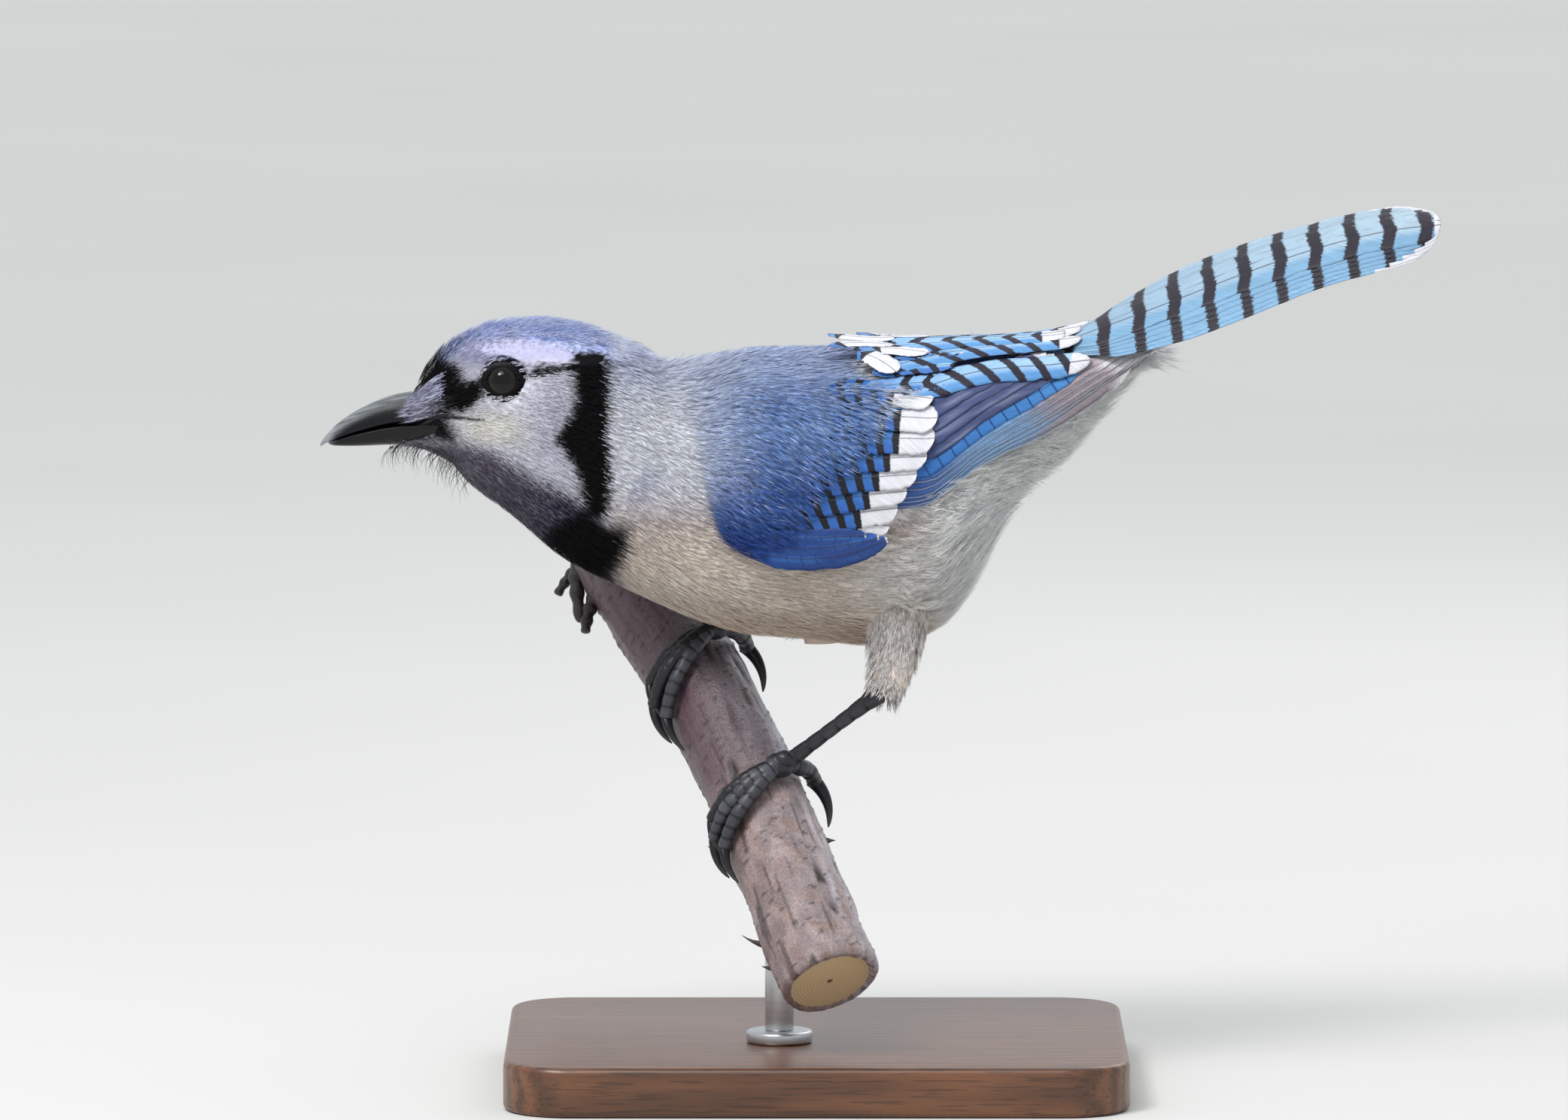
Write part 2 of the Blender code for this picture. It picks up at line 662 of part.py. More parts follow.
def add_leg(side, part, cutters, body_room, skin, horn, plumage):
    """Feathered thigh and bare shank of one leg, down to the foot."""
    foot_rooms = add_foot(side, part, cutters, skin, horn)
    heel = Vector(HEELS[side])
    ankle = round_perch(GRIP_PLACES[side], ANKLE_ANGLE, ANKLE_RAISE)
    path = [heel.lerp(ankle, i / (len(TARSUS_RADII) - 1)) for i in range(len(TARSUS_RADII))]
    shank = tube("tarsus_" + side, path, TARSUS_RADII, 10, part, skin)
    for room in foot_rooms:
        combine(shank, room, "DIFFERENCE")
    if side == "right":
        combine(shank, body_room, "DIFFERENCE")
    line, radii = along((THIGH_TOPS[side], THIGH_MIDS[side], THIGH_ENDS[side]), THIGH_RADII, THIGH_POINTS)
    thigh = tube("thigh_" + side, line, radii, 16, part, plumage["thigh"])
    combine(thigh, body_room, "DIFFERENCE")
    room = tube("tarsus_room_" + side, path, [r + GAP for r in TARSUS_RADII], 10, cutters)
    combine(thigh, as_cutter(room), "DIFFERENCE")


def add_stand(part, perch_room, wood, steel):
    length, depth, height = BASE_SIZE
    bm = bmesh.new()
    bmesh.ops.create_cube(bm, size=1.0)
    scale = Matrix.Diagonal((length * MM, depth * MM, height * MM, 1.0))
    bmesh.ops.transform(bm, matrix=Matrix.Translation((0, 0, height * MM / 2)) @ scale, verts=bm.verts)
    upright = [e for e in bm.edges if abs(e.verts[0].co.z - e.verts[1].co.z) > height * MM / 2]
    bmesh.ops.bevel(bm, geom=upright, offset=BASE_CORNER * MM, segments=6, profile=0.5, affect="EDGES")
    rim = [e for e in bm.edges if all(v.co.z > (height - 0.1) * MM for v in e.verts)]
    bmesh.ops.bevel(bm, geom=rim, offset=BASE_EDGE * MM, segments=2, profile=0.5, affect="EDGES")
    mesh_object("stand_base", bm, part, wood)

    x, y = ROD_PLACE
    for name, radius, low, high in (
        ("stand_collar", COLLAR_RADIUS, height + GAP, height + COLLAR_HEIGHT),
        ("stand_rod", ROD_RADIUS, height + COLLAR_HEIGHT + GAP, ROD_TOP),
    ):
        bm = bmesh.new()
        bmesh.ops.create_cone(
            bm,
            cap_ends=True,
            segments=24,
            radius1=radius * MM,
            radius2=radius * MM,
            depth=(high - low) * MM,
            matrix=Matrix.Translation(Vector((x, y, (low + high) / 2)) * MM),
        )
        piece = mesh_object(name, bm, part, steel)
    combine(piece, perch_room, "DIFFERENCE")


def main():
    clear_scene()
    part = make_collection("blue_jay")
    cutters = make_collection("cutters")
    plumage = {
        "face": make_material("face_feathers", (0.55, 0.56, 0.72), 0.8),
        "crest": make_material("crest_feathers", (0.28, 0.42, 0.80), 0.75),
        "neck": make_material("neck_feathers", (0.40, 0.46, 0.68), 0.8),
        "belly": make_material("belly_feathers", (0.55, 0.48, 0.44), 0.85),
        "vent": make_material("vent_feathers", (0.74, 0.72, 0.74), 0.85),
        "thigh": make_material("thigh_feathers", (0.58, 0.53, 0.52), 0.85),
        "wing": make_material("wing_feathers", (0.05, 0.16, 0.52), 0.6),
        "tail": make_material("tail_feathers", (0.32, 0.56, 0.84), 0.6),
    }
    skin = make_material("leg_scales", (0.03, 0.03, 0.035), 0.5)
    horn = make_material("horn", (0.02, 0.02, 0.025), 0.3)
    eye = make_material("eye_surface", (0.01, 0.008, 0.007), 0.05)
    bark = make_material("bark", (0.28, 0.22, 0.22), 0.6)
    wood = make_material("base_wood", (0.12, 0.06, 0.03), 0.4)
    steel = make_material("rod_steel", (0.6, 0.6, 0.6), 0.3, 1.0)

    head, body_room = add_body(part, cutters, plumage)
    add_crest(part, plumage["crest"])
    add_eyes(part, cutters, head, eye)
    add_bill(part, horn)
    add_wings(part, plumage)
    add_tail(part, plumage)
    perch_room = add_perch(part, cutters, bark)
    for side in ("left", "right"):
        add_leg(side, part, cutters, body_room, skin, horn, plumage)
    add_stand(part, perch_room, wood, steel)


main()
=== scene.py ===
"""The looks of a blue jay, life size, gripping a cut length of branch on a plain display stand.

Shapes are worked out in millimetres and made in metres. The body is built upright and even on both
sides, and a roll that grows towards the tail tips it a little to its left. The bird faces -X.
"""

import math

import bmesh
import bpy
import numpy as np
from mathutils import Matrix, Vector


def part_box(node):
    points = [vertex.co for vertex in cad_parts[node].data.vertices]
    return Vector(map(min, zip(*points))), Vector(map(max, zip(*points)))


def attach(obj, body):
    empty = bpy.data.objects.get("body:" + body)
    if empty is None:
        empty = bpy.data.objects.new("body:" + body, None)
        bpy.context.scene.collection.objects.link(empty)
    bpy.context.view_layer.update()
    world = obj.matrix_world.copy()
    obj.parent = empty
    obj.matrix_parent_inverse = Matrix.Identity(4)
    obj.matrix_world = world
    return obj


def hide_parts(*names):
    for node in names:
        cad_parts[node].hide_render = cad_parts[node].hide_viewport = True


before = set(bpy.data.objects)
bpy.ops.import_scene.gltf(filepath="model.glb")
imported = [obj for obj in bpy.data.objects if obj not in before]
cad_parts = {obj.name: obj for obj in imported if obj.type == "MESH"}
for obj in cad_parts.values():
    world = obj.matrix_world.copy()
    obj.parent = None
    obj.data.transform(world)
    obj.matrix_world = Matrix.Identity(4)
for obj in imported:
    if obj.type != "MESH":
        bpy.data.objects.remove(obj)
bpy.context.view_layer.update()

MM = 0.001
VIEW_TILT = math.radians(6)
RNG = np.random.default_rng(11)

# Outline of head, neck and trunk, as place along X and height; the first keys run out over the bill.
TOP_LINE = (
    (-106.0, 165.9), (-98.5, 169.3), (-93.4, 175.2), (-90.3, 178.9), (-83.2, 183.1), (-76.1, 185.4),
    (-66.6, 185.9), (-55.7, 184.3), (-48.0, 181.1), (-42.0, 178.4), (-37.3, 175.6), (-30.2, 176.2),
    (-14.7, 178.2), (3.3, 178.0), (17.0, 177.4), (39.0, 176.4), (56.0, 174.6), (66.0, 177.2), (74.0, 182.6),
    (82.0, 186.2),
)
BELLY_LINE = (
    (-106.0, 154.0), (-98.5, 154.6), (-89.0, 151.4), (-83.9, 145.8), (-73.5, 138.0), (-60.8, 127.4),
    (-46.4, 120.3), (-26.4, 111.7), (-15.5, 108.9), (-1.5, 107.9), (12.4, 106.2), (22.0, 106.8), (30.0, 111.0),
    (36.0, 118.5), (41.0, 128.0), (46.0, 138.0), (52.0, 146.5), (59.0, 151.5), (64.6, 157.5), (70.6, 164.5),
    (76.8, 172.0), (82.0, 180.0),
)
WIDEST_HEIGHT = (
    (-106.0, 159.4), (-98.5, 160.8), (-83.0, 163.5), (-66.0, 160.0), (-50.0, 153.0), (-30.0, 148.0),
    (0.0, 145.0), (25.0, 147.0), (40.0, 157.0), (56.0, 165.0), (70.0, 175.0), (82.0, 183.5),
)
HALF_WIDTH = (
    (-106.0, 4.3), (-98.5, 5.7), (-95.0, 7.4), (-90.0, 10.2), (-83.0, 13.8), (-76.0, 16.2), (-66.0, 18.2),
    (-56.0, 19.4), (-48.0, 20.4), (-38.0, 22.0), (-30.0, 24.6), (-22.0, 27.0), (-10.0, 29.6), (4.0, 30.8),
    (17.0, 30.8), (29.0, 29.0), (39.0, 25.0), (47.0, 20.2), (56.0, 15.5), (65.0, 12.0), (77.0, 9.0),
    (82.0, 7.0),
)
SECTION_POWER = 2.15
ROLL = (
    (-60.0, 0.0), (-30.0, 4.0), (0.0, 8.0), (40.0, 10.0), (60.0, 16.0), (75.0, 25.0), (90.0, 30.0),
    (152.0, 31.0),
)
ROLL_HEIGHT = (
    (-98.0, 160.0), (0.0, 146.0), (40.0, 158.0), (58.0, 175.0), (70.0, 184.0), (104.0, 198.0),
    (152.0, 209.0),
)

# The folded wings lie on this outer shell.
SHELL_TOP = (
    (-30.0, 179.7), (-10.0, 182.0), (4.0, 181.6), (17.0, 181.1), (39.0, 181.6), (56.0, 182.4),
    (65.0, 183.4), (79.0, 184.0),
)
SHELL_HALF_WIDTH = (
    (-30.0, 27.0), (-22.0, 30.2), (-10.0, 32.8), (4.0, 34.0), (17.0, 34.0), (29.0, 32.4), (39.0, 29.6),
    (47.0, 26.4), (56.0, 22.8), (65.0, 18.8), (72.0, 15.8), (79.0, 12.8),
)
TAIL_HEIGHT = (
    (50.0, 178.8), (58.0, 180.2), (69.2, 184.2), (86.5, 190.9), (103.9, 197.8), (117.9, 202.9), (128.0, 205.9),
    (141.6, 208.6), (151.0, 209.2),
)
TAIL_HALF_WIDTH = (
    (50.0, 3.0), (60.0, 6.0), (66.0, 8.0), (71.0, 12.0), (82.0, 14.6), (94.0, 16.0), (104.0, 15.6),
    (121.0, 13.8), (136.0, 12.8), (145.0, 11.6), (151.0, 9.8),
)
TAIL_ARCH = math.tan(math.radians(7))
EYE_PLACE = (-75.2, 11.4, 171.8)
EYE_RADIUS = 5.2
EYE_SEEN = 170.0

# Edge of the folded wing against the breast and belly: place along X and seen height.
WING_EDGE = (
    (-29.1, 156.0), (-26.9, 145.1), (-24.9, 136.5), (-22.9, 131.6), (-17.1, 127.6), (-5.5, 124.5),
    (0.4, 124.1), (11.8, 127.4), (19.1, 137.8), (37.4, 147.2), (55.4, 158.0), (71.8, 168.9), (80.0, 176.0),
)

# Markings in the side view, as place along X and seen height.
MASK = (
    (-98.0, 172.6), (-94.7, 173.6), (-90.2, 175.4), (-86.4, 174.2), (-85.7, 173.2), (-85.1, 170.0),
    (-79.9, 170.4), (-79.6, 166.3), (-82.5, 163.6), (-85.1, 161.8), (-88.9, 163.6), (-91.5, 166.2),
    (-93.4, 167.6), (-98.0, 168.4),
)
EYE_LINE = (
    (-70.6, 172.4), (-67.5, 173.4), (-61.3, 173.8), (-57.0, 175.4), (-57.0, 172.0), (-61.3, 172.1),
    (-67.2, 171.3), (-70.4, 170.7),
)
NECKLACE = (
    (-58.6, 176.0), (-58.2, 170.5), (-57.7, 166.1), (-59.0, 161.0), (-62.6, 155.9), (-60.4, 152.0),
    (-57.4, 146.9), (-56.2, 142.0), (-55.6, 136.5), (-50.0, 136.0), (-49.0, 143.4), (-49.0, 150.1),
    (-49.8, 155.9), (-49.2, 164.8), (-49.4, 173.7), (-50.0, 176.0), (-54.0, 177.0),
)
BREAST_PATCH = (
    (-55.3, 139.2), (-50.8, 134.5), (-44.8, 134.0), (-44.4, 129.8), (-46.2, 125.2), (-50.7, 121.0),
    (-57.3, 120.0), (-63.9, 124.5), (-66.5, 130.8), (-62.8, 134.7), (-59.1, 136.5),
)
THROAT_EDGE = (
    (-106.0, 155.6), (-88.3, 155.4), (-83.2, 154.2), (-76.8, 151.8), (-71.7, 148.5), (-67.0, 145.6),
    (-60.1, 142.5), (-52.0, 136.0), (-44.0, 125.0),
)
CROWN_EDGE = (
    (-98.0, 171.1), (-91.0, 174.0), (-87.4, 176.2), (-83.4, 179.1), (-74.1, 180.7), (-64.8, 178.9),
    (-55.5, 176.2), (-48.4, 174.4), (-42.8, 174.4), (-36.4, 175.1),
)
SCAPULAR_SPOT = ((10.0, 174.6), (13.0, 176.4), (19.0, 175.4), (19.0, 169.4), (14.5, 168.6), (11.0, 170.4))
GAPE_LINE = ((-92.0, 161.6), (-86.0, 161.2), (-79.5, 160.4), (-79.5, 159.9), (-86.0, 160.3), (-92.0, 160.6))
# Where the tips of the shoulder's feathers end over the wing: seen height, then place along X.
COVER_EDGE = (
    (124.0, -14.0), (131.0, -8.0), (134.9, -3.7), (142.0, 0.6), (149.1, 5.5), (157.6, 11.2), (168.2, 15.4),
    (175.0, 17.0), (178.0, 12.0), (181.0, 7.0),
)
# How far before that edge, along X, the last of those feathers is rooted.
COVER_REACH = (
    (124.0, 7.5), (131.0, 7.5), (142.0, 6.5), (149.0, 3.8), (157.6, 1.8), (168.0, -1.5), (176.0, 0.0), (181.0, 4.0),
)


def linear(hex_colour):
    """An sRGB hex colour as linear red, green and blue."""
    parts = [int(hex_colour[i:i + 2], 16) / 255 for i in (1, 3, 5)]
    return np.array([c / 12.92 if c <= 0.04045 else ((c + 0.055) / 1.055) ** 2.4 for c in parts])


def keyed(keys):
    """A smooth line through the keys that never swings past one, as a function of an array."""
    xs, ys = np.array(keys, float).T
    secants = np.diff(ys) / np.diff(xs)
    slopes = np.empty(len(xs))
    slopes[0], slopes[-1] = secants[0], secants[-1]
    before, after = secants[:-1], secants[1:]
    total = np.where(before * after > 0, before + after, 1.0)
    slopes[1:-1] = np.where(before * after > 0, 2 * before * after / total, 0.0)

    def read(x):
        x = np.clip(x, xs[0], xs[-1])
        i = np.clip(np.searchsorted(xs, x, side="right") - 1, 0, len(xs) - 2)
        width = xs[i + 1] - xs[i]
        t = (x - xs[i]) / width
        return (
            ys[i] * (2 * t**3 - 3 * t**2 + 1)
            + slopes[i] * width * (t**3 - 2 * t**2 + t)
            + ys[i + 1] * (3 * t**2 - 2 * t**3)
            + slopes[i + 1] * width * (t**3 - t**2)
        )

    return read


top_at, low_at = keyed(TOP_LINE), keyed(BELLY_LINE)
wide_at, half_at = keyed(WIDEST_HEIGHT), keyed(HALF_WIDTH)
roll_at, pivot_at = keyed(ROLL), keyed(ROLL_HEIGHT)
shell_top_at, shell_half_at = keyed(SHELL_TOP), keyed(SHELL_HALF_WIDTH)
tail_height_at, tail_half_at = keyed(TAIL_HEIGHT), keyed(TAIL_HALF_WIDTH)
wing_edge_at, throat_edge_at, crown_edge_at = keyed(WING_EDGE), keyed(THROAT_EDGE), keyed(CROWN_EDGE)
cover_edge_at, cover_reach_at = keyed(COVER_EDGE), keyed(COVER_REACH)


def smooth(low, high, value):
    t = np.clip((value - low) / (high - low), 0, 1)
    return t * t * (3 - 2 * t)


def bump(centre, spread, value):
    return np.exp(-(((value - centre) / spread) ** 2))


def section(angle, top, low, wide, half):
    """A point of an egg-shaped cross section: its distance from the middle and its height."""
    power = 2 / SECTION_POWER
    sine, cosine = np.sin(angle), np.cos(angle)
    across = half * np.sign(cosine) * np.abs(cosine) ** power
    rise = np.where(sine > 0, top - wide, wide - low)
    return across, wide + rise * np.sign(sine) * np.abs(sine) ** power


def rolled(x, y, z):
    """Points in metres once the body is tipped to its left."""
    roll, pivot = np.radians(roll_at(x)), pivot_at(x)
    rise = z - pivot
    turned_y = y * np.cos(roll) - rise * np.sin(roll)
    turned_z = pivot + y * np.sin(roll) + rise * np.cos(roll)
    return np.stack([x + 0 * y, turned_y, turned_z], axis=-1) * MM


def folded(angle):
    """The same place on the left half of a ring, from -90 degrees at the belly to 90 at the back."""
    return np.arcsin(np.clip(np.sin(angle), -1, 1))


def body(x, angle, grow):
    """The trunk's own surface; an angle of 0 is the right side, 90 degrees the back, 180 the left."""
    across, height = section(angle, top_at(x) + grow, low_at(x) - grow, wide_at(x), half_at(x) + grow)
    return rolled(x, across, height)


def seen_height(points):
    return (points[..., 2] * math.cos(VIEW_TILT) + points[..., 1] * math.sin(VIEW_TILT)) / MM


def left_height(x, angle):
    """Height at which the left side shows the place that this point mirrors."""
    return seen_height(body(x, math.pi - folded(angle), 0.0))


def over_wing(x, angle):
    """How far the mantle stands off the trunk where it covers the folded wing's shoulder, in mm."""
    above = left_height(x, angle) - wing_edge_at(x)
    on_side = 1 - 0.85 * smooth(50, 76, np.degrees(folded(angle)))
    return 3.9 * on_side * smooth(-30, -14, x) * smooth(-1.0, 2.5, above)


def coat_surface(x, angle, grow):
    return body(x, angle, grow + over_wing(x, angle))


def shell(side):
    """The wings' shell on one side as a surface of place, angle and height over it."""
    def surface(x, angle, grow):
        across, height = section(
            angle, shell_top_at(x) + grow, low_at(x), wide_at(x), shell_half_at(x) + grow
        )
        return rolled(x, side * across, height)

    return surface


def shell_angle(x, height):
    """The angle round the left shell where it is seen at this height."""
    low, high = np.full_like(x, -math.pi / 2), np.full_like(x, math.pi / 2.05)
    surface = shell(-1)
    for _ in range(30):
        middle = (low + high) / 2
        under = seen_height(surface(x, middle, 0.0)) < height
        low, high = np.where(under, middle, low), np.where(under, high, middle)
    return (low + high) / 2


def tail_surface(x, share, grow):
    half = tail_half_at(x)
    drop = TAIL_ARCH * half * np.abs(share) ** 1.5
    return rolled(x, half * share, tail_height_at(x) - drop + grow)


def metric(surface, u, v):
    """Millimetres moved per step of u and of v, at points of a surface."""
    step = 0.01
    here = surface(u, v, 0.0)
    along = np.linalg.norm(surface(u + step, v, 0.0) - here, axis=-1) / step / MM
    across = np.linalg.norm(surface(u, v + step, 0.0) - here, axis=-1) / step / MM
    return np.maximum(along, 0.3), np.maximum(across, 0.5)


def normal_at(surface, u, v):
    step = 0.01
    here = surface(u, v, 0.0)
    normal = np.cross(surface(u + step, v, 0.0) - here, surface(u, v + step, 0.0) - here)
    outward = surface(u, v, 1.0) - here
    normal *= np.sign(np.sum(normal * outward, axis=-1, keepdims=True))
    return normal / np.maximum(np.linalg.norm(normal, axis=-1, keepdims=True), 1e-12)


def inside(polygon, x, h, blur):
    """1 inside an outline and 0 outside it, going over within a band as wide as blur."""
    points = np.array(polygon)
    crossings = np.zeros(x.shape, int)
    nearest = np.full(x.shape, 1e9)
    for (x0, h0), (x1, h1) in zip(points, np.roll(points, -1, axis=0)):
        rises = (h0 > h) != (h1 > h)
        gap = h1 - h0 if h1 != h0 else 1e-9
        crossings += rises & (x < (x1 - x0) * (h - h0) / gap + x0)
        run, lift = x1 - x0, h1 - h0
        t = np.clip(((x - x0) * run + (h - h0) * lift) / (run**2 + lift**2), 0, 1)
        nearest = np.minimum(nearest, np.hypot(x - x0 - t * run, h - h0 - t * lift))
    signed = np.where(crossings % 2 == 1, nearest, -nearest)
    return smooth(-blur / 2, blur / 2, signed)


def blend(colours, other, share):
    other = np.asarray(other)
    return colours + (other - colours) * share[..., None]


def waves(x, h, size, seed):
    """Slow uneven change over the body, between -1 and 1, about size mm from crest to crest."""
    rng = np.random.default_rng(seed)
    total = 0
    for _ in range(5):
        turn, phase = rng.uniform(0, 2 * math.pi, 2)
        stretch = rng.uniform(0.7, 1.5) * 2 * math.pi / size
        total = total + np.sin(stretch * (x * math.cos(turn) + h * math.sin(turn)) + phase)
    return total / 3


def plumage(x, angle):
    """The colour of the body's feathers at places on it."""
    h = left_height(x, angle)
    rise = folded(angle)
    jitter = RNG.normal(0, 0.8, x.shape)
    px, ph = x + jitter, h + RNG.normal(0, 0.45, x.shape)

    colour = np.ones(x.shape + (3,)) * linear("#dcdce8")
    cheek = blend(colour, linear("#efece4"), bump(-78, 9, x) * bump(158, 4.5, h))
    colour = blend(cheek, linear("#b4b4cc"), 0.5 * bump(-62, 6, x) * bump(160, 8, h))
    brow = smooth(172, 176, h) * smooth(-90, -84, x)
    colour = blend(colour, linear("#b9b8d6"), brow)

    crown = smooth(-1.6, 1.6, ph - crown_edge_at(x)) * smooth(-34, -42, x)
    crown_blue = blend(
        np.ones_like(colour) * linear("#c4cef4"), linear("#9fb0e8"), smooth(-0.4, 1, waves(x * 0.3, h * 6, 9, 3))
    )
    streaked = (RNG.random(x.shape) < 0.16 + 0.5 * smooth(-76, -90, x)) * (0.6 + 0.3 * smooth(-76, -90, x))
    crown_blue = blend(crown_blue, linear("#2a3260"), streaked)
    colour = colour + (crown_blue - colour) * crown[..., None]

    throat = smooth(1.4, -1.8, ph + RNG.normal(0, 1.1, x.shape) - throat_edge_at(x)) * smooth(-40, -50, x)
    # The throat is painted dark slate, darkest towards the necklace. This is painted shade under the head, laid over
    # the throat's own pale grey, with pale and dark strands on top.
    throat_colour = blend(
        np.ones_like(colour) * linear("#625c6c"), linear("#2a2540"), smooth(-82, -58, x)
    )
    pale_strand = (RNG.random(x.shape) < 0.30) * smooth(-50, -66, x) * (0.35 + 0.4 * smooth(-3.5, 0, ph - throat_edge_at(x)))
    throat_colour = blend(throat_colour, linear("#d5d2de"), pale_strand)
    throat_colour = blend(throat_colour, linear("#2c2830"), 0.6 * (RNG.random(x.shape) < 0.2))
    colour = colour + (throat_colour - colour) * throat[..., None]

    side = smooth(-52, -47, px)
    neck = np.ones_like(colour) * linear("#eceef8")
    neck = blend(neck, linear("#c9d0ee"), smooth(160, 174, h) * 0.6)
    neck = blend(neck, linear("#d6cac6"), smooth(146, 132, h))
    neck = blend(neck, linear("#a4a8c6"), 0.35 * smooth(0.2, 1, waves(x, h, 16, 5)) * smooth(136, 144, h))
    colour = colour + (neck - colour) * (side * (1 - throat * smooth(-46, -52, x)))[..., None]

    belly = np.ones_like(colour) * linear("#f0e2d6")
    # Towards its underside the belly is painted a darker buff: painted shade under the body.
    belly = blend(belly, linear("#d8c0ae"), smooth(118, 108, h) * 0.6)
    belly = blend(belly, linear("#fbf6f2"), smooth(0, 24, x) * smooth(108, 122, h))
    belly = blend(belly, linear("#ffffff"), smooth(24, 36, x))
    low_body = smooth(136, 126, h + 2.0 * waves(x, h, 14, 9)) * smooth(-50, -42, px)
    low_body = np.maximum(low_body, smooth(22, 30, x) * smooth(45, 20, np.degrees(rise)))
    colour = colour + (belly - colour) * low_body[..., None]

    above = ph - wing_edge_at(x)
    mantle = np.maximum(
        smooth(-31, -24, px + 0.10 * (h - 150)) * smooth(-0.4, 0.8, above),
        smooth(-44, -16, px) * smooth(168, 176, h),
    ) * np.maximum(smooth(20, 14, px), smooth(60, 68, np.degrees(rise)))
    # Deep blue low over the shoulder, going paler up the back. The palest blue along the top is partly the back's own
    # colour and partly painted light from above.
    blue = np.ones_like(colour) * linear("#263f86")
    blue = blend(blue, linear("#4a72bc"), smooth(128, 141, h))
    blue = blend(blue, linear("#86a8e0"), smooth(140, 158, h))
    blue = blend(blue, linear("#bccbf0"), smooth(158, 175, h))
    blue = blend(blue, linear("#35579c"), 0.30 * smooth(0.3, 1, waves(x, h, 22, 12)))
    blue = blend(blue, linear("#dfe4f6"), smooth(-8, -30, x) * smooth(134, 150, h) * 0.75)
    blue = blend(blue, linear("#e4eafa"), 0.55 * (RNG.random(x.shape) < 0.13) * smooth(130, 142, h))
    blue = blend(blue, linear("#24418a"), 0.6 * (RNG.random(x.shape) < 0.16))
    colour = colour + (blue - colour) * mantle[..., None]
    rump = smooth(30, 40, x) * smooth(50, 62, np.degrees(rise))
    colour = blend(colour, linear("#7f9cdc"), rump)

    white = inside(SCAPULAR_SPOT, px, ph, 1.6)
    colour = blend(colour, linear("#f2f2f6"), white)
    black = linear("#060608")
    collar = np.maximum(inside(NECKLACE, px, ph, 1.2), inside(BREAST_PATCH, px, ph, 4.5))
    collar = np.maximum(collar, bump(-52.5, 5.0, x) * smooth(-62, -74, np.degrees(rise)))
    collar = np.maximum(collar, smooth(1.9, 1.1, np.abs(px + 55.0)) * smooth(30, 50, np.degrees(rise)) * (1 - crown))
    face = np.maximum(inside(MASK, px, ph, 1.0), inside(EYE_LINE, px, ph, 0.9))
    face = np.maximum(face, inside(GAPE_LINE, x, h, 0.5))
    face = np.maximum(face, smooth(-86.5, -90.5, px - 0.5 * np.abs(h - 160)) * smooth(154.0, 156.0, ph) * (ph < 165))
    face = np.maximum(face, smooth(3.4, 2.4, np.abs(px + 93.4)) * smooth(40, 48, np.degrees(rise)))
    return blend(colour, black, np.maximum(collar, face))


def new_mesh(name, points, faces):
    """A mesh from an array of points and an array of equal faces."""
    mesh = bpy.data.meshes.new(name)
    count, corners = faces.shape
    mesh.vertices.add(len(points))
    mesh.vertices.foreach_set("co", points.astype(np.float32).ravel())
    mesh.loops.add(count * corners)
    mesh.loops.foreach_set("vertex_index", faces.astype(np.int32).ravel())
    mesh.polygons.add(count)
    mesh.polygons.foreach_set("loop_start", np.arange(0, count * corners, corners, dtype=np.int32))
    mesh.update(calc_edges=True)
    return mesh


def set_colour(mesh, name, colours):
    layer = mesh.color_attributes.new(name, "FLOAT_COLOR", "POINT")
    full = np.ones((len(colours), 4), np.float32)
    full[:, :3] = colours
    layer.data.foreach_set("color", full.ravel())


def set_uv(mesh, name, per_point, faces):
    layer = mesh.uv_layers.new(name=name)
    layer.data.foreach_set("uv", per_point[faces.ravel()].astype(np.float32).ravel())
    return layer


def add_object(name, mesh, material):
    obj = bpy.data.objects.new(name, mesh)
    bpy.context.scene.collection.objects.link(obj)
    mesh.materials.append(material)
    return obj


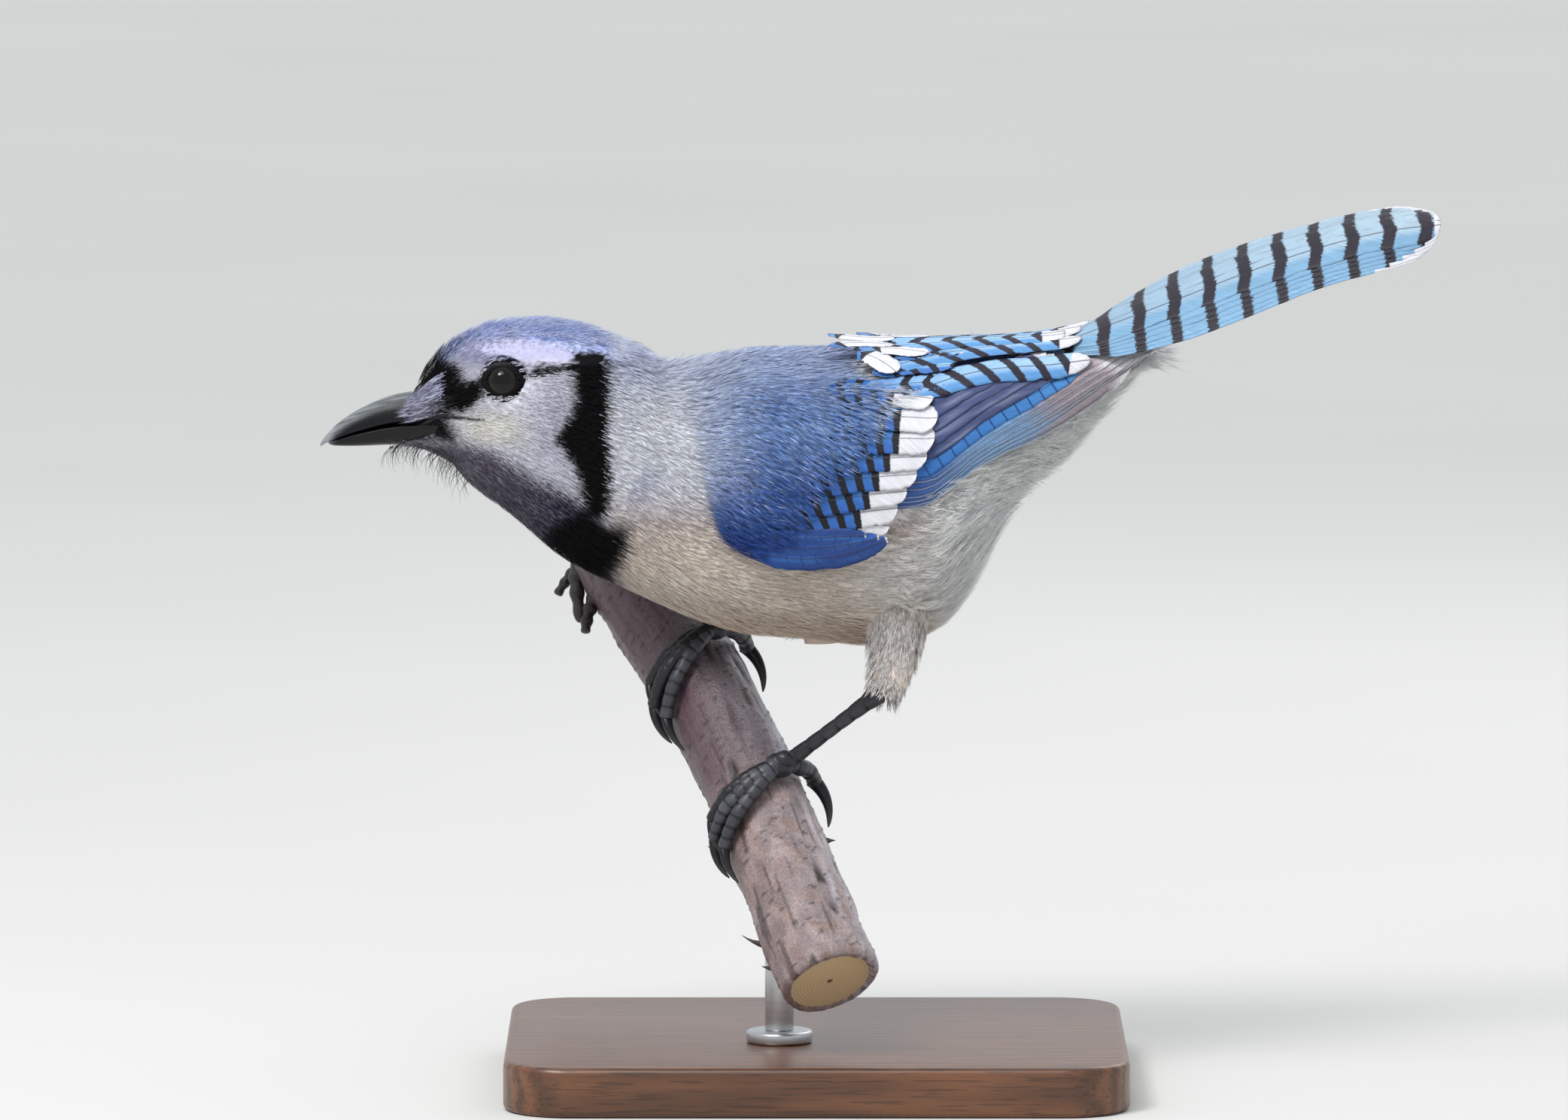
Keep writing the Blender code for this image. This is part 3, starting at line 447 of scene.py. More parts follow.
def tufts(name, surface, u, v, shape, material, paint, unwrap):
    """Feathers rooted at places on a surface, each a fan of thin flat barbs along a shaft.

    shape holds, for each feather, its length, width and lie, how deep it is rooted and how high its
    tip stands, its barbs' width, and how far its barbs stray.
    """
    length, width, lie, root, tip, barb, stray = (s[:, None] for s in shape["each"])
    barbs = shape["barbs"]
    count = len(u)
    pair = np.arange(barbs) // 2
    f = np.clip(((pair + 0.5) / (barbs / 2))[None, :] + RNG.uniform(-0.02, 0.02, (count, barbs)), 0.01, 0.99)
    hand = np.where(np.arange(barbs) % 2 == 0, 1.0, -1.0)[None, :]
    start = 0.72 * f * length
    end = length * (0.35 + 0.65 * f**0.8) * (1 + 0.07 * stray * RNG.normal(0, 1, f.shape))
    aside = hand * width / 2 * np.sqrt(1 - f**2) + 0.10 * stray * width * RNG.normal(0, 1, f.shape)
    along_mm, across_mm = metric(surface, u, v)
    along_mm, across_mm = along_mm[:, None], across_mm[:, None]

    def place(s, c, grow):
        du = (s * np.cos(lie) - c * np.sin(lie)) / along_mm
        dv = (s * np.sin(lie) + c * np.cos(lie)) / across_mm
        return u[:, None] + du, v[:, None] + dv, grow

    def height(s):
        return root + (tip - root) * (s / length) ** 0.9

    lift = 0.10 * stray * RNG.normal(0, 1, f.shape)
    base_u, base_v, base_grow = place(start, 0.5 * aside, height(start))
    end_u, end_v, end_grow = place(end, aside, height(end) + lift + shape.get("spread", 0.0) * (f - 0.3))
    base = surface(base_u, base_v, base_grow)
    point = surface(end_u, end_v, end_grow)
    normal = normal_at(surface, base_u, base_v)
    heading = point - base
    heading /= np.maximum(np.linalg.norm(heading, axis=-1, keepdims=True), 1e-12)
    beside = np.cross(heading, normal)
    beside /= np.maximum(np.linalg.norm(beside, axis=-1, keepdims=True), 1e-12)
    half = (barb * (1.1 - 0.4 * f))[..., None] * MM
    corners = np.stack([base - beside * half, base + beside * half, base + normal * half * 0.5, point], axis=2)
    points = corners.reshape(-1, 3)
    index = np.arange(count * barbs)[:, None, None] * 4
    faces = (index + np.array([[0, 1, 2], [0, 3, 1], [0, 2, 3], [1, 3, 2]])[None]).reshape(-1, 3)

    mesh = new_mesh(name, points, faces)
    tone = 1 + 0.07 * RNG.normal(0, 1, (count, 1)) + 0.15 * RNG.normal(0, 1, f.shape)
    middle_u, middle_v, _ = place((start + end) / 2, 0.75 * aside, 0)
    colours = paint(middle_u, middle_v) * np.clip(tone, 0.5, 1.6)[..., None]
    # Each barb is painted darker at its root corners and lighter at its tip. This is painted shade where it sinks into
    # the coat, and painted light at its end.
    shade = np.array([0.92, 0.92, 0.98, 1.10])
    colours = np.clip(colours[:, :, None, :] * shade[None, None, :, None], 0, 1)
    set_colour(mesh, "Plumage", colours.reshape(-1, 3))
    root_u, root_v = unwrap(u, v)
    patch = 0.003
    here_u = root_u[:, None] + patch * np.stack([start / length, start / length, start / length, end / length], axis=2).reshape(count, -1)
    side_c = np.stack([0 * aside - 0.1, 0 * aside + 0.1, 0 * aside, aside / width], axis=2).reshape(count, -1)
    here_v = root_v[:, None] + patch * (side_c + 0.5)
    set_uv(mesh, "OFBake", np.stack([here_u, here_v], axis=-1).reshape(-1, 2), faces)
    return add_object(name, mesh, material)


def node(tree, kind, settings=None, inputs=None):
    """Adds a shader node, with its settings and with values or links for its inputs."""
    made = tree.nodes.new(kind)
    for key, value in (settings or {}).items():
        setattr(made, key, value)
    for key, value in (inputs or {}).items():
        if isinstance(value, bpy.types.NodeSocket):
            tree.links.new(value, made.inputs[key])
        else:
            made.inputs[key].default_value = value
    return made


def new_material(name, values):
    """A material with plain values on its shader; returns it with its tree and shader."""
    material = bpy.data.materials.new(name)
    material.use_nodes = True
    tree = material.node_tree
    shader = tree.nodes["Principled BSDF"]
    for key, value in values.items():
        shader.inputs[key].default_value = value
    return material, tree, shader


def soft_feather_material():
    """Soft body feathers: keratin barbs too loose to shine, with a little sheen at their edges."""
    material, tree, shader = new_material("contour_feather", {
        "Roughness": 0.72, "Specular IOR Level": 0.10, "Sheen Weight": 0.02, "Sheen Roughness": 0.5,
    })
    colour = node(tree, "ShaderNodeAttribute", {"attribute_name": "Plumage"})
    place = node(tree, "ShaderNodeTexCoord")
    grain = node(tree, "ShaderNodeTexNoise", None, {"Vector": place.outputs["Object"], "Scale": 900.0, "Detail": 2.0})
    tone = node(tree, "ShaderNodeMapRange", None, {
        "Value": grain.outputs["Fac"], "From Min": 0.3, "From Max": 0.7, "To Min": 0.88, "To Max": 1.1,
    })
    mixed = node(tree, "ShaderNodeMix", {"data_type": "RGBA", "blend_type": "MULTIPLY"}, {
        0: 1.0, 6: colour.outputs["Color"], 7: tone.outputs["Result"],
    })
    tree.links.new(mixed.outputs[2], shader.inputs["Base Color"])
    return material


def stage():
    """Pale floor, soft light from above and the camera at the photograph's view."""
    bpy.ops.object.select_all(action="DESELECT")
    bpy.ops.mesh.primitive_circle_add(vertices=96, radius=30.0, fill_type="NGON")
    floor = bpy.context.object
    floor.name = "floor"
    material, tree, shader = new_material("matt_paper", {"Roughness": 0.9, "Specular IOR Level": 0.2})
    place = node(tree, "ShaderNodeTexCoord")
    fleck = node(tree, "ShaderNodeTexNoise", None, {"Vector": place.outputs["Object"], "Scale": 3.0})
    shade = node(tree, "ShaderNodeValToRGB", None, {"Fac": fleck.outputs["Fac"]})
    shade.color_ramp.elements[0].color = (*linear("#cfcecb"), 1)
    shade.color_ramp.elements[1].color = (*linear("#d6d5d2"), 1)
    tree.links.new(shade.outputs["Color"], shader.inputs["Base Color"])
    floor.data.materials.append(material)

    world = bpy.data.worlds.new("studio")
    world.use_nodes = True
    world.node_tree.nodes["Background"].inputs["Color"].default_value = (0.92, 0.96, 1.0, 1.0)
    world.node_tree.nodes["Background"].inputs["Strength"].default_value = 0.76
    bpy.context.scene.world = world

    sun = bpy.data.lights.new("overhead", "SUN")
    sun.energy = 1.1
    sun.angle = math.radians(38)
    sun_object = bpy.data.objects.new("overhead", sun)
    sun_object.rotation_euler = (math.radians(28), math.radians(-16), 0)
    bpy.context.scene.collection.objects.link(sun_object)
    for name, place, size, power in (
        ("softbox_front", (-0.45, -0.6, 0.95), 0.35, 6.0),
        ("softbox_back", (0.5, 0.9, 0.8), 0.7, 2.5),
    ):
        light = bpy.data.lights.new(name, "AREA")
        light.shape = "DISK"
        light.size = size
        light.energy = power
        holder = bpy.data.objects.new(name, light)
        holder.location = place
        aim = Vector((-0.02, 0.0, 0.16)) - Vector(place)
        holder.rotation_euler = aim.to_track_quat("-Z", "Y").to_euler()
        bpy.context.scene.collection.objects.link(holder)

    camera = bpy.data.cameras.new("camera")
    camera.sensor_width = 36.0
    distance = 3.0
    camera.lens = 36.0 * distance / 0.3793
    camera.clip_end = 100.0
    holder = bpy.data.objects.new("camera", camera)
    holder.location = (
        -0.0078, -distance * math.cos(VIEW_TILT), 0.1273 + distance * math.sin(VIEW_TILT)
    )
    holder.rotation_euler = (math.pi / 2 - VIEW_TILT, 0, 0)
    bpy.context.scene.collection.objects.link(holder)
    bpy.context.scene.camera = holder
    bpy.context.scene.view_settings.view_transform = "Standard"


FLESH = ("head", "crest", "neck", "trunk", "rump", "thigh_left", "thigh_right")
COAT_DEPTH = 0.8


def make_skin(material):
    """One skin under the feathers, in place of the pieces of flesh."""
    bm = bmesh.new()
    for name in FLESH:
        bm.from_mesh(bpy.data.objects[name].data)
    bmesh.ops.remove_doubles(bm, verts=bm.verts, dist=0.00001)
    mesh = bpy.data.meshes.new("skin")
    bm.to_mesh(mesh)
    bm.free()
    skin = add_object("skin", mesh, material)
    finished(skin, "REMESH", mode="VOXEL", voxel_size=1.1 * MM)
    finished(skin, "SMOOTH", factor=0.5, iterations=4)
    mesh = skin.data
    points = np.empty(len(mesh.vertices) * 3, np.float32)
    normals = np.empty(len(mesh.vertices) * 3, np.float32)
    mesh.vertices.foreach_get("co", points)
    mesh.vertices.foreach_get("normal", normals)
    points, normals = points.reshape(-1, 3), normals.reshape(-1, 3)
    points -= normals * COAT_DEPTH * MM
    mesh.vertices.foreach_set("co", points.ravel())
    mesh.shade_smooth()
    x, angle = body_place(points.astype(float))
    # The skin takes the plumage's colours, darkened a little. This is painted shade beneath the coat, where the skin
    # shows between the feathers.
    set_colour(mesh, "Plumage", plumage(x, angle) * 0.9)
    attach(skin, "root")
    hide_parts(*FLESH)
    return skin


def body_place(points):
    """Place along the body and angle round it, for points in metres."""
    x = points[:, 0] / MM
    roll, pivot = np.radians(roll_at(x)), pivot_at(x)
    y, rise = points[:, 1] / MM, points[:, 2] / MM - pivot
    upright_y = y * np.cos(roll) + rise * np.sin(roll)
    upright_z = pivot - y * np.sin(roll) + rise * np.cos(roll)
    over = (upright_z - wide_at(x)) / np.where(
        upright_z > wide_at(x), top_at(x) - wide_at(x), wide_at(x) - low_at(x)
    )
    out = upright_y / half_at(x)
    power = SECTION_POWER / 2
    angle = np.arctan2(np.sign(over) * np.abs(over) ** power, np.sign(out) * np.abs(out) ** power)
    return x, angle


def coat_lie(x, angle):
    """Lean of the feathers from the body's own line, in radians, upwards on the left side positive."""
    h = left_height(x, angle)
    degrees = 3.0 * waves(x, h, 26, 21)
    degrees = degrees - 30 * smooth(-30, -4, x) * smooth(172, 158, h) * smooth(126, 140, h)
    degrees = degrees - 12 * smooth(-58, -40, x) * smooth(-28, -36, x) * smooth(178, 160, h)
    degrees = degrees + 10 * bump(-38, 12, x) * bump(128, 8, h)
    left = np.cos(angle) < 0
    return np.radians(np.where(left, -degrees, degrees))


# Coat by stretch of the body: start and end, spacing, length, width, barbs, barb half width, root, tip, stray.
COAT_STRETCHES = {
    "face": (-101.0, -79.0, 1.15, 3.4, 1.3, 20, 0.06, -1.0, 0.0, 0.8),
    "head": (-79.0, -58.0, 1.45, 5.0, 1.7, 26, 0.065, -1.1, 0.0, 0.8),
    "nape": (-58.0, -40.0, 1.75, 6.4, 2.1, 34, 0.07, -1.2, 0.0, 0.8),
    "neck": (-40.0, -18.0, 2.1, 8.2, 2.6, 42, 0.08, -1.3, 0.05, 0.8),
    "mantle": (-18.0, 10.0, 2.4, 9.0, 2.9, 42, 0.08, -1.4, 0.05, 0.8),
    "flank": (10.0, 40.0, 2.4, 10.5, 3.2, 42, 0.08, -1.4, 0.1, 1.2),
    "vent": (40.0, 81.0, 2.2, 11.0, 3.2, 42, 0.08, -1.2, 0.1, 1.3),
}


def coat_unwrap(x, angle):
    return 0.02 + 0.95 * (x + 110) / 200, 0.02 + 0.95 * (angle % (2 * math.pi)) / (2 * math.pi)


def coat_piece(name, values, material):
    start, end, spacing, length, width, barbs, barb, root, tip, stray = values
    xs, angles = [], []
    x, row = start, 0
    while x < end:
        ring = np.linspace(0, 2 * math.pi, 241)
        points = coat_surface(np.full(241, x), ring, 0.0)
        lengths = np.concatenate([[0], np.cumsum(np.linalg.norm(np.diff(points, axis=0), axis=1))]) / MM
        count = max(6, round(lengths[-1] / spacing))
        steps = (np.arange(count) + 0.5 * (row % 2)) / count
        angles.append(np.interp(steps * lengths[-1], lengths, ring))
        xs.append(np.full(count, x))
        slope = math.hypot(1, float(top_at(x + 0.5) - top_at(x - 0.5)))
        x += spacing * 0.85 / min(slope, 1.6)
        row += 1
    u, v = np.concatenate(xs), np.concatenate(angles)
    u = u + RNG.normal(0, 0.18 * spacing, u.shape)
    v = v + RNG.normal(0, 0.10 * spacing, v.shape) / metric(coat_surface, u, v)[1]
    keep = keep_coat(u, v)
    u, v = u[keep], v[keep]
    ones = np.ones(u.shape)
    h = left_height(u, v)
    long = length * (1 + 0.08 * RNG.normal(0, 1, u.shape))
    around_eye = np.hypot(u - EYE_PLACE[0], h - EYE_SEEN) - EYE_RADIUS
    long = long * (0.45 + 0.55 * smooth(0.0, 6.0, around_eye))
    lie = coat_lie(u, v) + np.radians(RNG.normal(0, 5 * stray, u.shape))
    # Along the rear edge of the belly the feathers are loose, and their tips stand out in spikes.
    rise = np.degrees(folded(v))
    fluff = smooth(16, 32, u) * smooth(25, -5, rise)
    # The crown's feathers stand off the head, and their ends hang over the nape.
    crown = smooth(45, 70, rise) * smooth(-20, -36, u)
    overhang = bump(-49, 5, u) * smooth(50, 75, rise)
    stands = tip + fluff * RNG.uniform(0.3, 3.6, u.shape) + 1.0 * crown + 0.8 * overhang
    long = long * (1 + 0.2 * fluff + 0.45 * overhang)
    each = (long, ones * width * long / length, lie, ones * root, stands, ones * barb, stray + 1.1 * fluff)
    shape = {"each": each, "barbs": barbs}
    piece = tufts("coat_" + name, coat_surface, u, v, shape, material, plumage, coat_unwrap)
    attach(piece, "root")
    return piece


def keep_coat(x, angle):
    """Whether a feather grows here: not on the eyes or bill, nor where the wing's own feathers show."""
    h = left_height(x, angle)
    rise = np.degrees(folded(angle))
    eye = np.hypot(x - EYE_PLACE[0] - 0.3, (h - EYE_SEEN) * 1.12) < EYE_RADIUS - 0.9
    left_or_right = rise < 65
    under_wing = (x > 16) & (h > wing_edge_at(x) + 1.5) & (rise < 62)
    bare_wing = (x > cover_edge_at(h) - cover_reach_at(h)) & (h > wing_edge_at(x) + 0.5) & (rise < 72)
    bill = (x < -92.0) & (h > 155.6) & ((h < 168.2) | (x < -96.5))
    return ~(eye & left_or_right) & ~under_wing & ~bare_wing & ~bill


# Greater coverts of the wing, top to bottom: tip as place and seen height, rise in degrees, white tip.
GREATER_COVERTS = (
    (28.0, 165.6, -6, 9.8), (29.0, 160.9, 0, 9.2), (28.3, 156.0, 2, 8.8), (26.4, 151.5, 4, 9.0),
    (24.0, 147.2, 6, 9.2), (21.6, 143.0, 8, 9.1), (19.4, 138.8, 9, 9.0), (17.4, 134.6, 5, 7.6),
)
GREATER_LENGTH = 26.0
# Small coverts in front of the tertials: tip, rise, white tip, length, half width, depth.
INNER_COVERTS = (
    (31.5, 169.8, 6, -1.0, 20.0, 2.9, 0.55), (33.0, 173.8, 6, -1.0, 20.0, 2.9, 0.35),
    (36.0, 177.0, 6, 1.5, 18.0, 2.9, 0.15), (30.0, 179.4, 2, 6.0, 20.0, 2.6, 0.2),
    (26.8, 176.2, -3, 12.0, 18.0, 3.5, -0.35), (18.8, 178.1, 1, 13.0, 16.0, 2.5, -0.45),
    (19.0, 171.2, -28, 9.5, 10.5, 3.3, -0.9),
)
# Long feathers as base, tip, bow, width below and above the shaft, depth in the wing.
TERTIALS = (
    ((14.0, 163.0), (66.0, 175.0), 3.4, 4.4, 4.6, 0.95),
    ((14.0, 172.0), (64.0, 180.6), 1.5, 4.4, 3.8, 0.55),
    ((12.0, 177.5), (60.0, 182.8), 0.8, 4.2, 4.0, 0.2),
)
SECONDARIES = (
    ((22.0, 162.4), (55.0, 177.8), 0.0, 3.6, 3.0, 1.15),
    ((22.0, 159.0), (57.0, 177.4), 0.0, 3.6, 3.0, 1.27),
    ((21.0, 154.9), (58.5, 176.8), 0.0, 3.6, 3.0, 1.39),
    ((21.0, 152.0), (60.5, 176.0), 0.0, 3.6, 3.0, 1.51),
    ((19.0, 147.6), (63.5, 174.0), 0.0, 3.6, 3.0, 1.63),
)
PRIMARIES = (
    ((20.0, 145.6), (72.0, 176.5), 0.0, 2.6, 4.0, 1.80),
    ((19.0, 143.6), (74.5, 176.3), 0.0, 2.6, 4.0, 1.92),
    ((18.0, 141.6), (76.5, 175.6), 0.0, 2.6, 4.0, 2.04),
    ((17.0, 140.4), (79.5, 176.6), -0.4, 2.6, 4.0, 2.16),
    ((16.0, 139.4), (83.0, 177.2), -0.8, 2.6, 4.0, 2.28),
    ((15.0, 138.4), (76.0, 172.4), -0.8, 2.8, 4.0, 2.40),
)
ALULA = (
    ((-13.0, 131.4), (12.0, 132.4), 0.0, 2.6, 2.0, 0.1),
    ((-15.0, 129.8), (15.0, 132.0), -1.4, 3.0, 2.6, -0.1),
    ((-16.0, 128.6), (17.0, 131.6), -3.0, 3.2, 3.0, -0.3),
)
VANE_ROWS = 30
VANE_COLUMNS = (-1.0, -0.8, -0.5, -0.22, -0.05, 0.0, 0.05, 0.22, 0.5, 0.8, 1.0)
VANE_THICKNESS = 0.14


class Sheaf:
    """Gathers vanes, to be made into one piece."""

    def __init__(self):
        self.points, self.faces, self.corners, self.layers = [], [], [], {}
        self.count = 0
        self.vanes = 0

    def add(self, points, faces, corners, layers):
        self.points.append(points)
        self.faces.append(faces + self.count)
        self.corners.append(corners)
        for key, value in layers.items():
            self.layers.setdefault(key, []).append(value)
        self.count += len(points)
        self.vanes += 1

    def make(self, name, material):
        points, faces = np.concatenate(self.points), np.concatenate(self.faces)
        mesh = new_mesh(name, points, faces)
        for key in ("Plumage", "Bars"):
            set_colour(mesh, key, np.concatenate(self.layers[key]))
        for key in ("vane", "marks"):
            layer = mesh.attributes.new(key, "FLOAT_VECTOR", "POINT")
            layer.data.foreach_set("vector", np.concatenate(self.layers[key]).astype(np.float32).ravel())
        uv = mesh.uv_layers.new(name="OFBake")
        shelf = np.concatenate([c + [[[i, 0.0]]] for i, c in enumerate(self.corners)])
        shelf[..., 0] /= len(self.corners)
        uv.data.foreach_set("uv", shelf.astype(np.float32).ravel())
        mesh.shade_smooth()
        return add_object(name, mesh, material)


def vane(sheaf, surface, line, widths, depth, colour, bars="#0c0c14", white=0.0, bar=(4.0, 0.0, 0.0, 0.0),
         tilt=0.4, camber=0.35, round_tip=0.28, rise=0.0, seed=0, shaft=0.12, under="#8d909c", first_bar=None,
         swept=False):
    """One feather lying on a surface, from its base through its middle to its tip.

    bar holds the spacing of the bars, the share of it that is dark, how many mm of the vane have bars
    and how far a bar leans towards the tip for each mm from the shaft. first_bar is how far from the
    tip the bars are counted from, where that isn't the white tip's edge. A swept bar leans one way
    across the whole vane.
    """
    first_bar = white if first_bar is None else first_bar
    rng = np.random.default_rng(seed)
    line = np.array(line, float)
    t = np.linspace(0, 1, VANE_ROWS)
    s = 1 - (1 - t) ** 1.6
    a, b, c = line
    spine = ((1 - s) ** 2)[:, None] * a + (2 * s * (1 - s))[:, None] * (2 * b - (a + c) / 2) + (s**2)[:, None] * c
    along, across = metric(surface, spine[:, 0], spine[:, 1])
    step = np.gradient(spine, axis=0)
    heading = np.stack([step[:, 0] * along, step[:, 1] * across], axis=1)
    pace = np.linalg.norm(heading, axis=1)
    heading /= pace[:, None]
    run = np.concatenate([[0], np.cumsum((pace[1:] + pace[:-1]) / 2)])
    from_tip = run[-1] - run

    low, high = widths
    body_width = np.minimum(1, (s / 0.16) ** 0.6) * np.where(
        s > 1 - round_tip, np.sqrt(np.clip(1 - ((s - 1 + round_tip) / round_tip) ** 2.4, 0.002, 1)), 1.0
    )
    ragged = 1 + 0.035 * rng.normal(0, 1, (2, VANE_ROWS)) - 0.10 * (rng.random((2, VANE_ROWS)) > 0.93)
    columns = np.array(VANE_COLUMNS)
    offset = np.where(
        columns[None, :] < 0,
        columns[None, :] * low * (body_width * ragged[0])[:, None],
        columns[None, :] * high * (body_width * ragged[1])[:, None],
    )
    # Barbs point on towards the tip, so the outer parts of a row stand a little ahead of the shaft.
    ahead = 0.25 * np.abs(offset) * (1 - s)[:, None] * 0.5
    du = (-heading[:, 1][:, None] * offset + heading[:, 0][:, None] * ahead) / along[:, None]
    dv = (heading[:, 0][:, None] * offset + heading[:, 1][:, None] * ahead) / across[:, None]
    u, v = spine[:, 0][:, None] + du, spine[:, 1][:, None] + dv
    ripple = 0.05 * rng.normal(0, 1, offset.shape) * np.abs(columns)[None, :]
    grow = -depth + rise * s[:, None] - tilt * (columns[None, :] + 1) / 2 + camber * (1 - columns[None, :] ** 2) + ripple
    grow = grow + 0.07 * (np.abs(columns) < 0.01)[None, :]
    top = surface(u, v, grow).reshape(-1, 3)
    bottom = surface(u, v, grow - VANE_THICKNESS).reshape(-1, 3)

    rows, cols = offset.shape
    grid = np.arange(rows * cols).reshape(rows, cols)
    quads = np.stack([grid[:-1, :-1], grid[:-1, 1:], grid[1:, 1:], grid[1:, :-1]], axis=-1).reshape(-1, 4)
    rim = np.concatenate([grid[0, :], grid[1:, -1], grid[-1, -2::-1], grid[-2:0:-1, 0]])
    following = np.roll(rim, -1)
    size = rows * cols
    sides = np.stack([following, rim, rim + size, following + size], axis=-1)
    faces = np.concatenate([quads, quads[:, ::-1] + size, sides])
    points = np.concatenate([top, bottom])
    corner = points[faces]
    centre = points.mean(axis=0)
    rel = corner - centre
    volume = np.sum(rel[:, 0] * np.cross(rel[:, 1], rel[:, 2])) + np.sum(rel[:, 0] * np.cross(rel[:, 2], rel[:, 3]))
    flat = np.stack([
        0.1 + 0.8 * np.repeat((columns[None, :] + 1) / 2, rows, axis=0), 0.02 + 0.45 * np.repeat(s[:, None], cols, axis=1)
    ], axis=-1).reshape(-1, 2)
    islands = np.concatenate([flat, flat + [0.0, 0.5]])
    corners = np.concatenate([islands[faces[:2 * len(quads)]], flat[faces[2 * len(quads):] % size]])
    if volume < 0:
        faces, corners = faces[:, ::-1], corners[:, ::-1]

    tip_distance = np.repeat(from_tip[:, None], cols, axis=1)
    spacing, share, reach, lean = bar
    slant = -offset if swept else np.abs(offset)
    phase = (tip_distance - first_bar + lean * slant) / spacing - share / 2
    share_here = np.where(tip_distance < white + reach, share, 0.0) if reach else np.full(offset.shape, share)
    tones = colour(s[:, None] + 0 * offset, offset, columns[None, :] + 0 * offset, tip_distance)
    tones = tones * (1 + 0.04 * rng.normal(0, 1)) * (1 + 0.03 * rng.normal(0, 1, offset.shape))[..., None]
    ones = np.ones(size)
    sheaf.add(points, faces, corners, {
        "Plumage": np.concatenate([tones.reshape(-1, 3), ones[:, None] * linear(under)]),
        "Bars": np.concatenate([ones[:, None] * linear(bars)] * 2),
        "vane": np.tile(np.stack([offset, tip_distance, phase], axis=-1).reshape(-1, 3), (2, 1)),
        "marks": np.concatenate([
            np.stack([share_here.ravel(), white * ones, shaft * ones], axis=-1),
            np.stack([0.35 * share_here.ravel(), white * ones, shaft * ones], axis=-1),
        ]),
    })


def plain(first, last, edge=None, power=1.0):
    """Colour of a vane from base to tip, going over to another at its lower edge."""
    def colour(s, offset, column, tip_distance):
        tones = blend(np.ones(s.shape + (3,)) * linear(first), linear(last), s**power)
        if edge is not None:
            tones = blend(tones, linear(edge), smooth(-0.1, -0.45, column))
        return tones

    return colour


def streaky(first, last, pale, seed):
    """Colour of a vane from base to tip, with paler streaks along it."""
    def colour(s, offset, column, tip_distance):
        tones = blend(np.ones(s.shape + (3,)) * linear(first), linear(last), s)
        return blend(tones, linear(pale), 0.6 * smooth(0.1, 0.9, waves(tip_distance * 0.12, offset, 2.6, seed)))

    return colour


def quill_colour(s, offset, column, tip_distance):
    """Colour of a primary: blue, going over to grey-mauve and a pale tip, with a fine pale lower edge."""
    tones = blend(np.ones(s.shape + (3,)) * linear("#34589c"), linear("#7fa9d6"), smooth(0.10, 0.40, s))
    tones = blend(tones, linear("#a3959d"), smooth(0.50, 0.72, s))
    tones = blend(tones, linear("#f0eef0"), smooth(0.90, 0.97, s))
    tones = blend(tones, linear("#20283e"), 0.6 * bump(-0.8, 0.12, column) * (1 - smooth(0.88, 0.95, s)))
    return blend(tones, linear("#d3deec"), 0.55 * smooth(-0.88, -1.0, column))


def side_line(base, tip, bow):
    """Base, middle and tip of a feather from the side view, as places and angles on the shell."""
    base, tip = np.array(base, float), np.array(tip, float)
    run = tip - base
    middle = (base + tip) / 2 + bow * np.array([-run[1], run[0]]) / np.linalg.norm(run)
    points = np.array([base, middle, tip])
    return np.stack([points[:, 0], shell_angle(points[:, 0], points[:, 1])], axis=-1)


def backwards(tip, degrees, length):
    return tip[0] - length * math.cos(math.radians(degrees)), tip[1] - length * math.sin(math.radians(degrees))


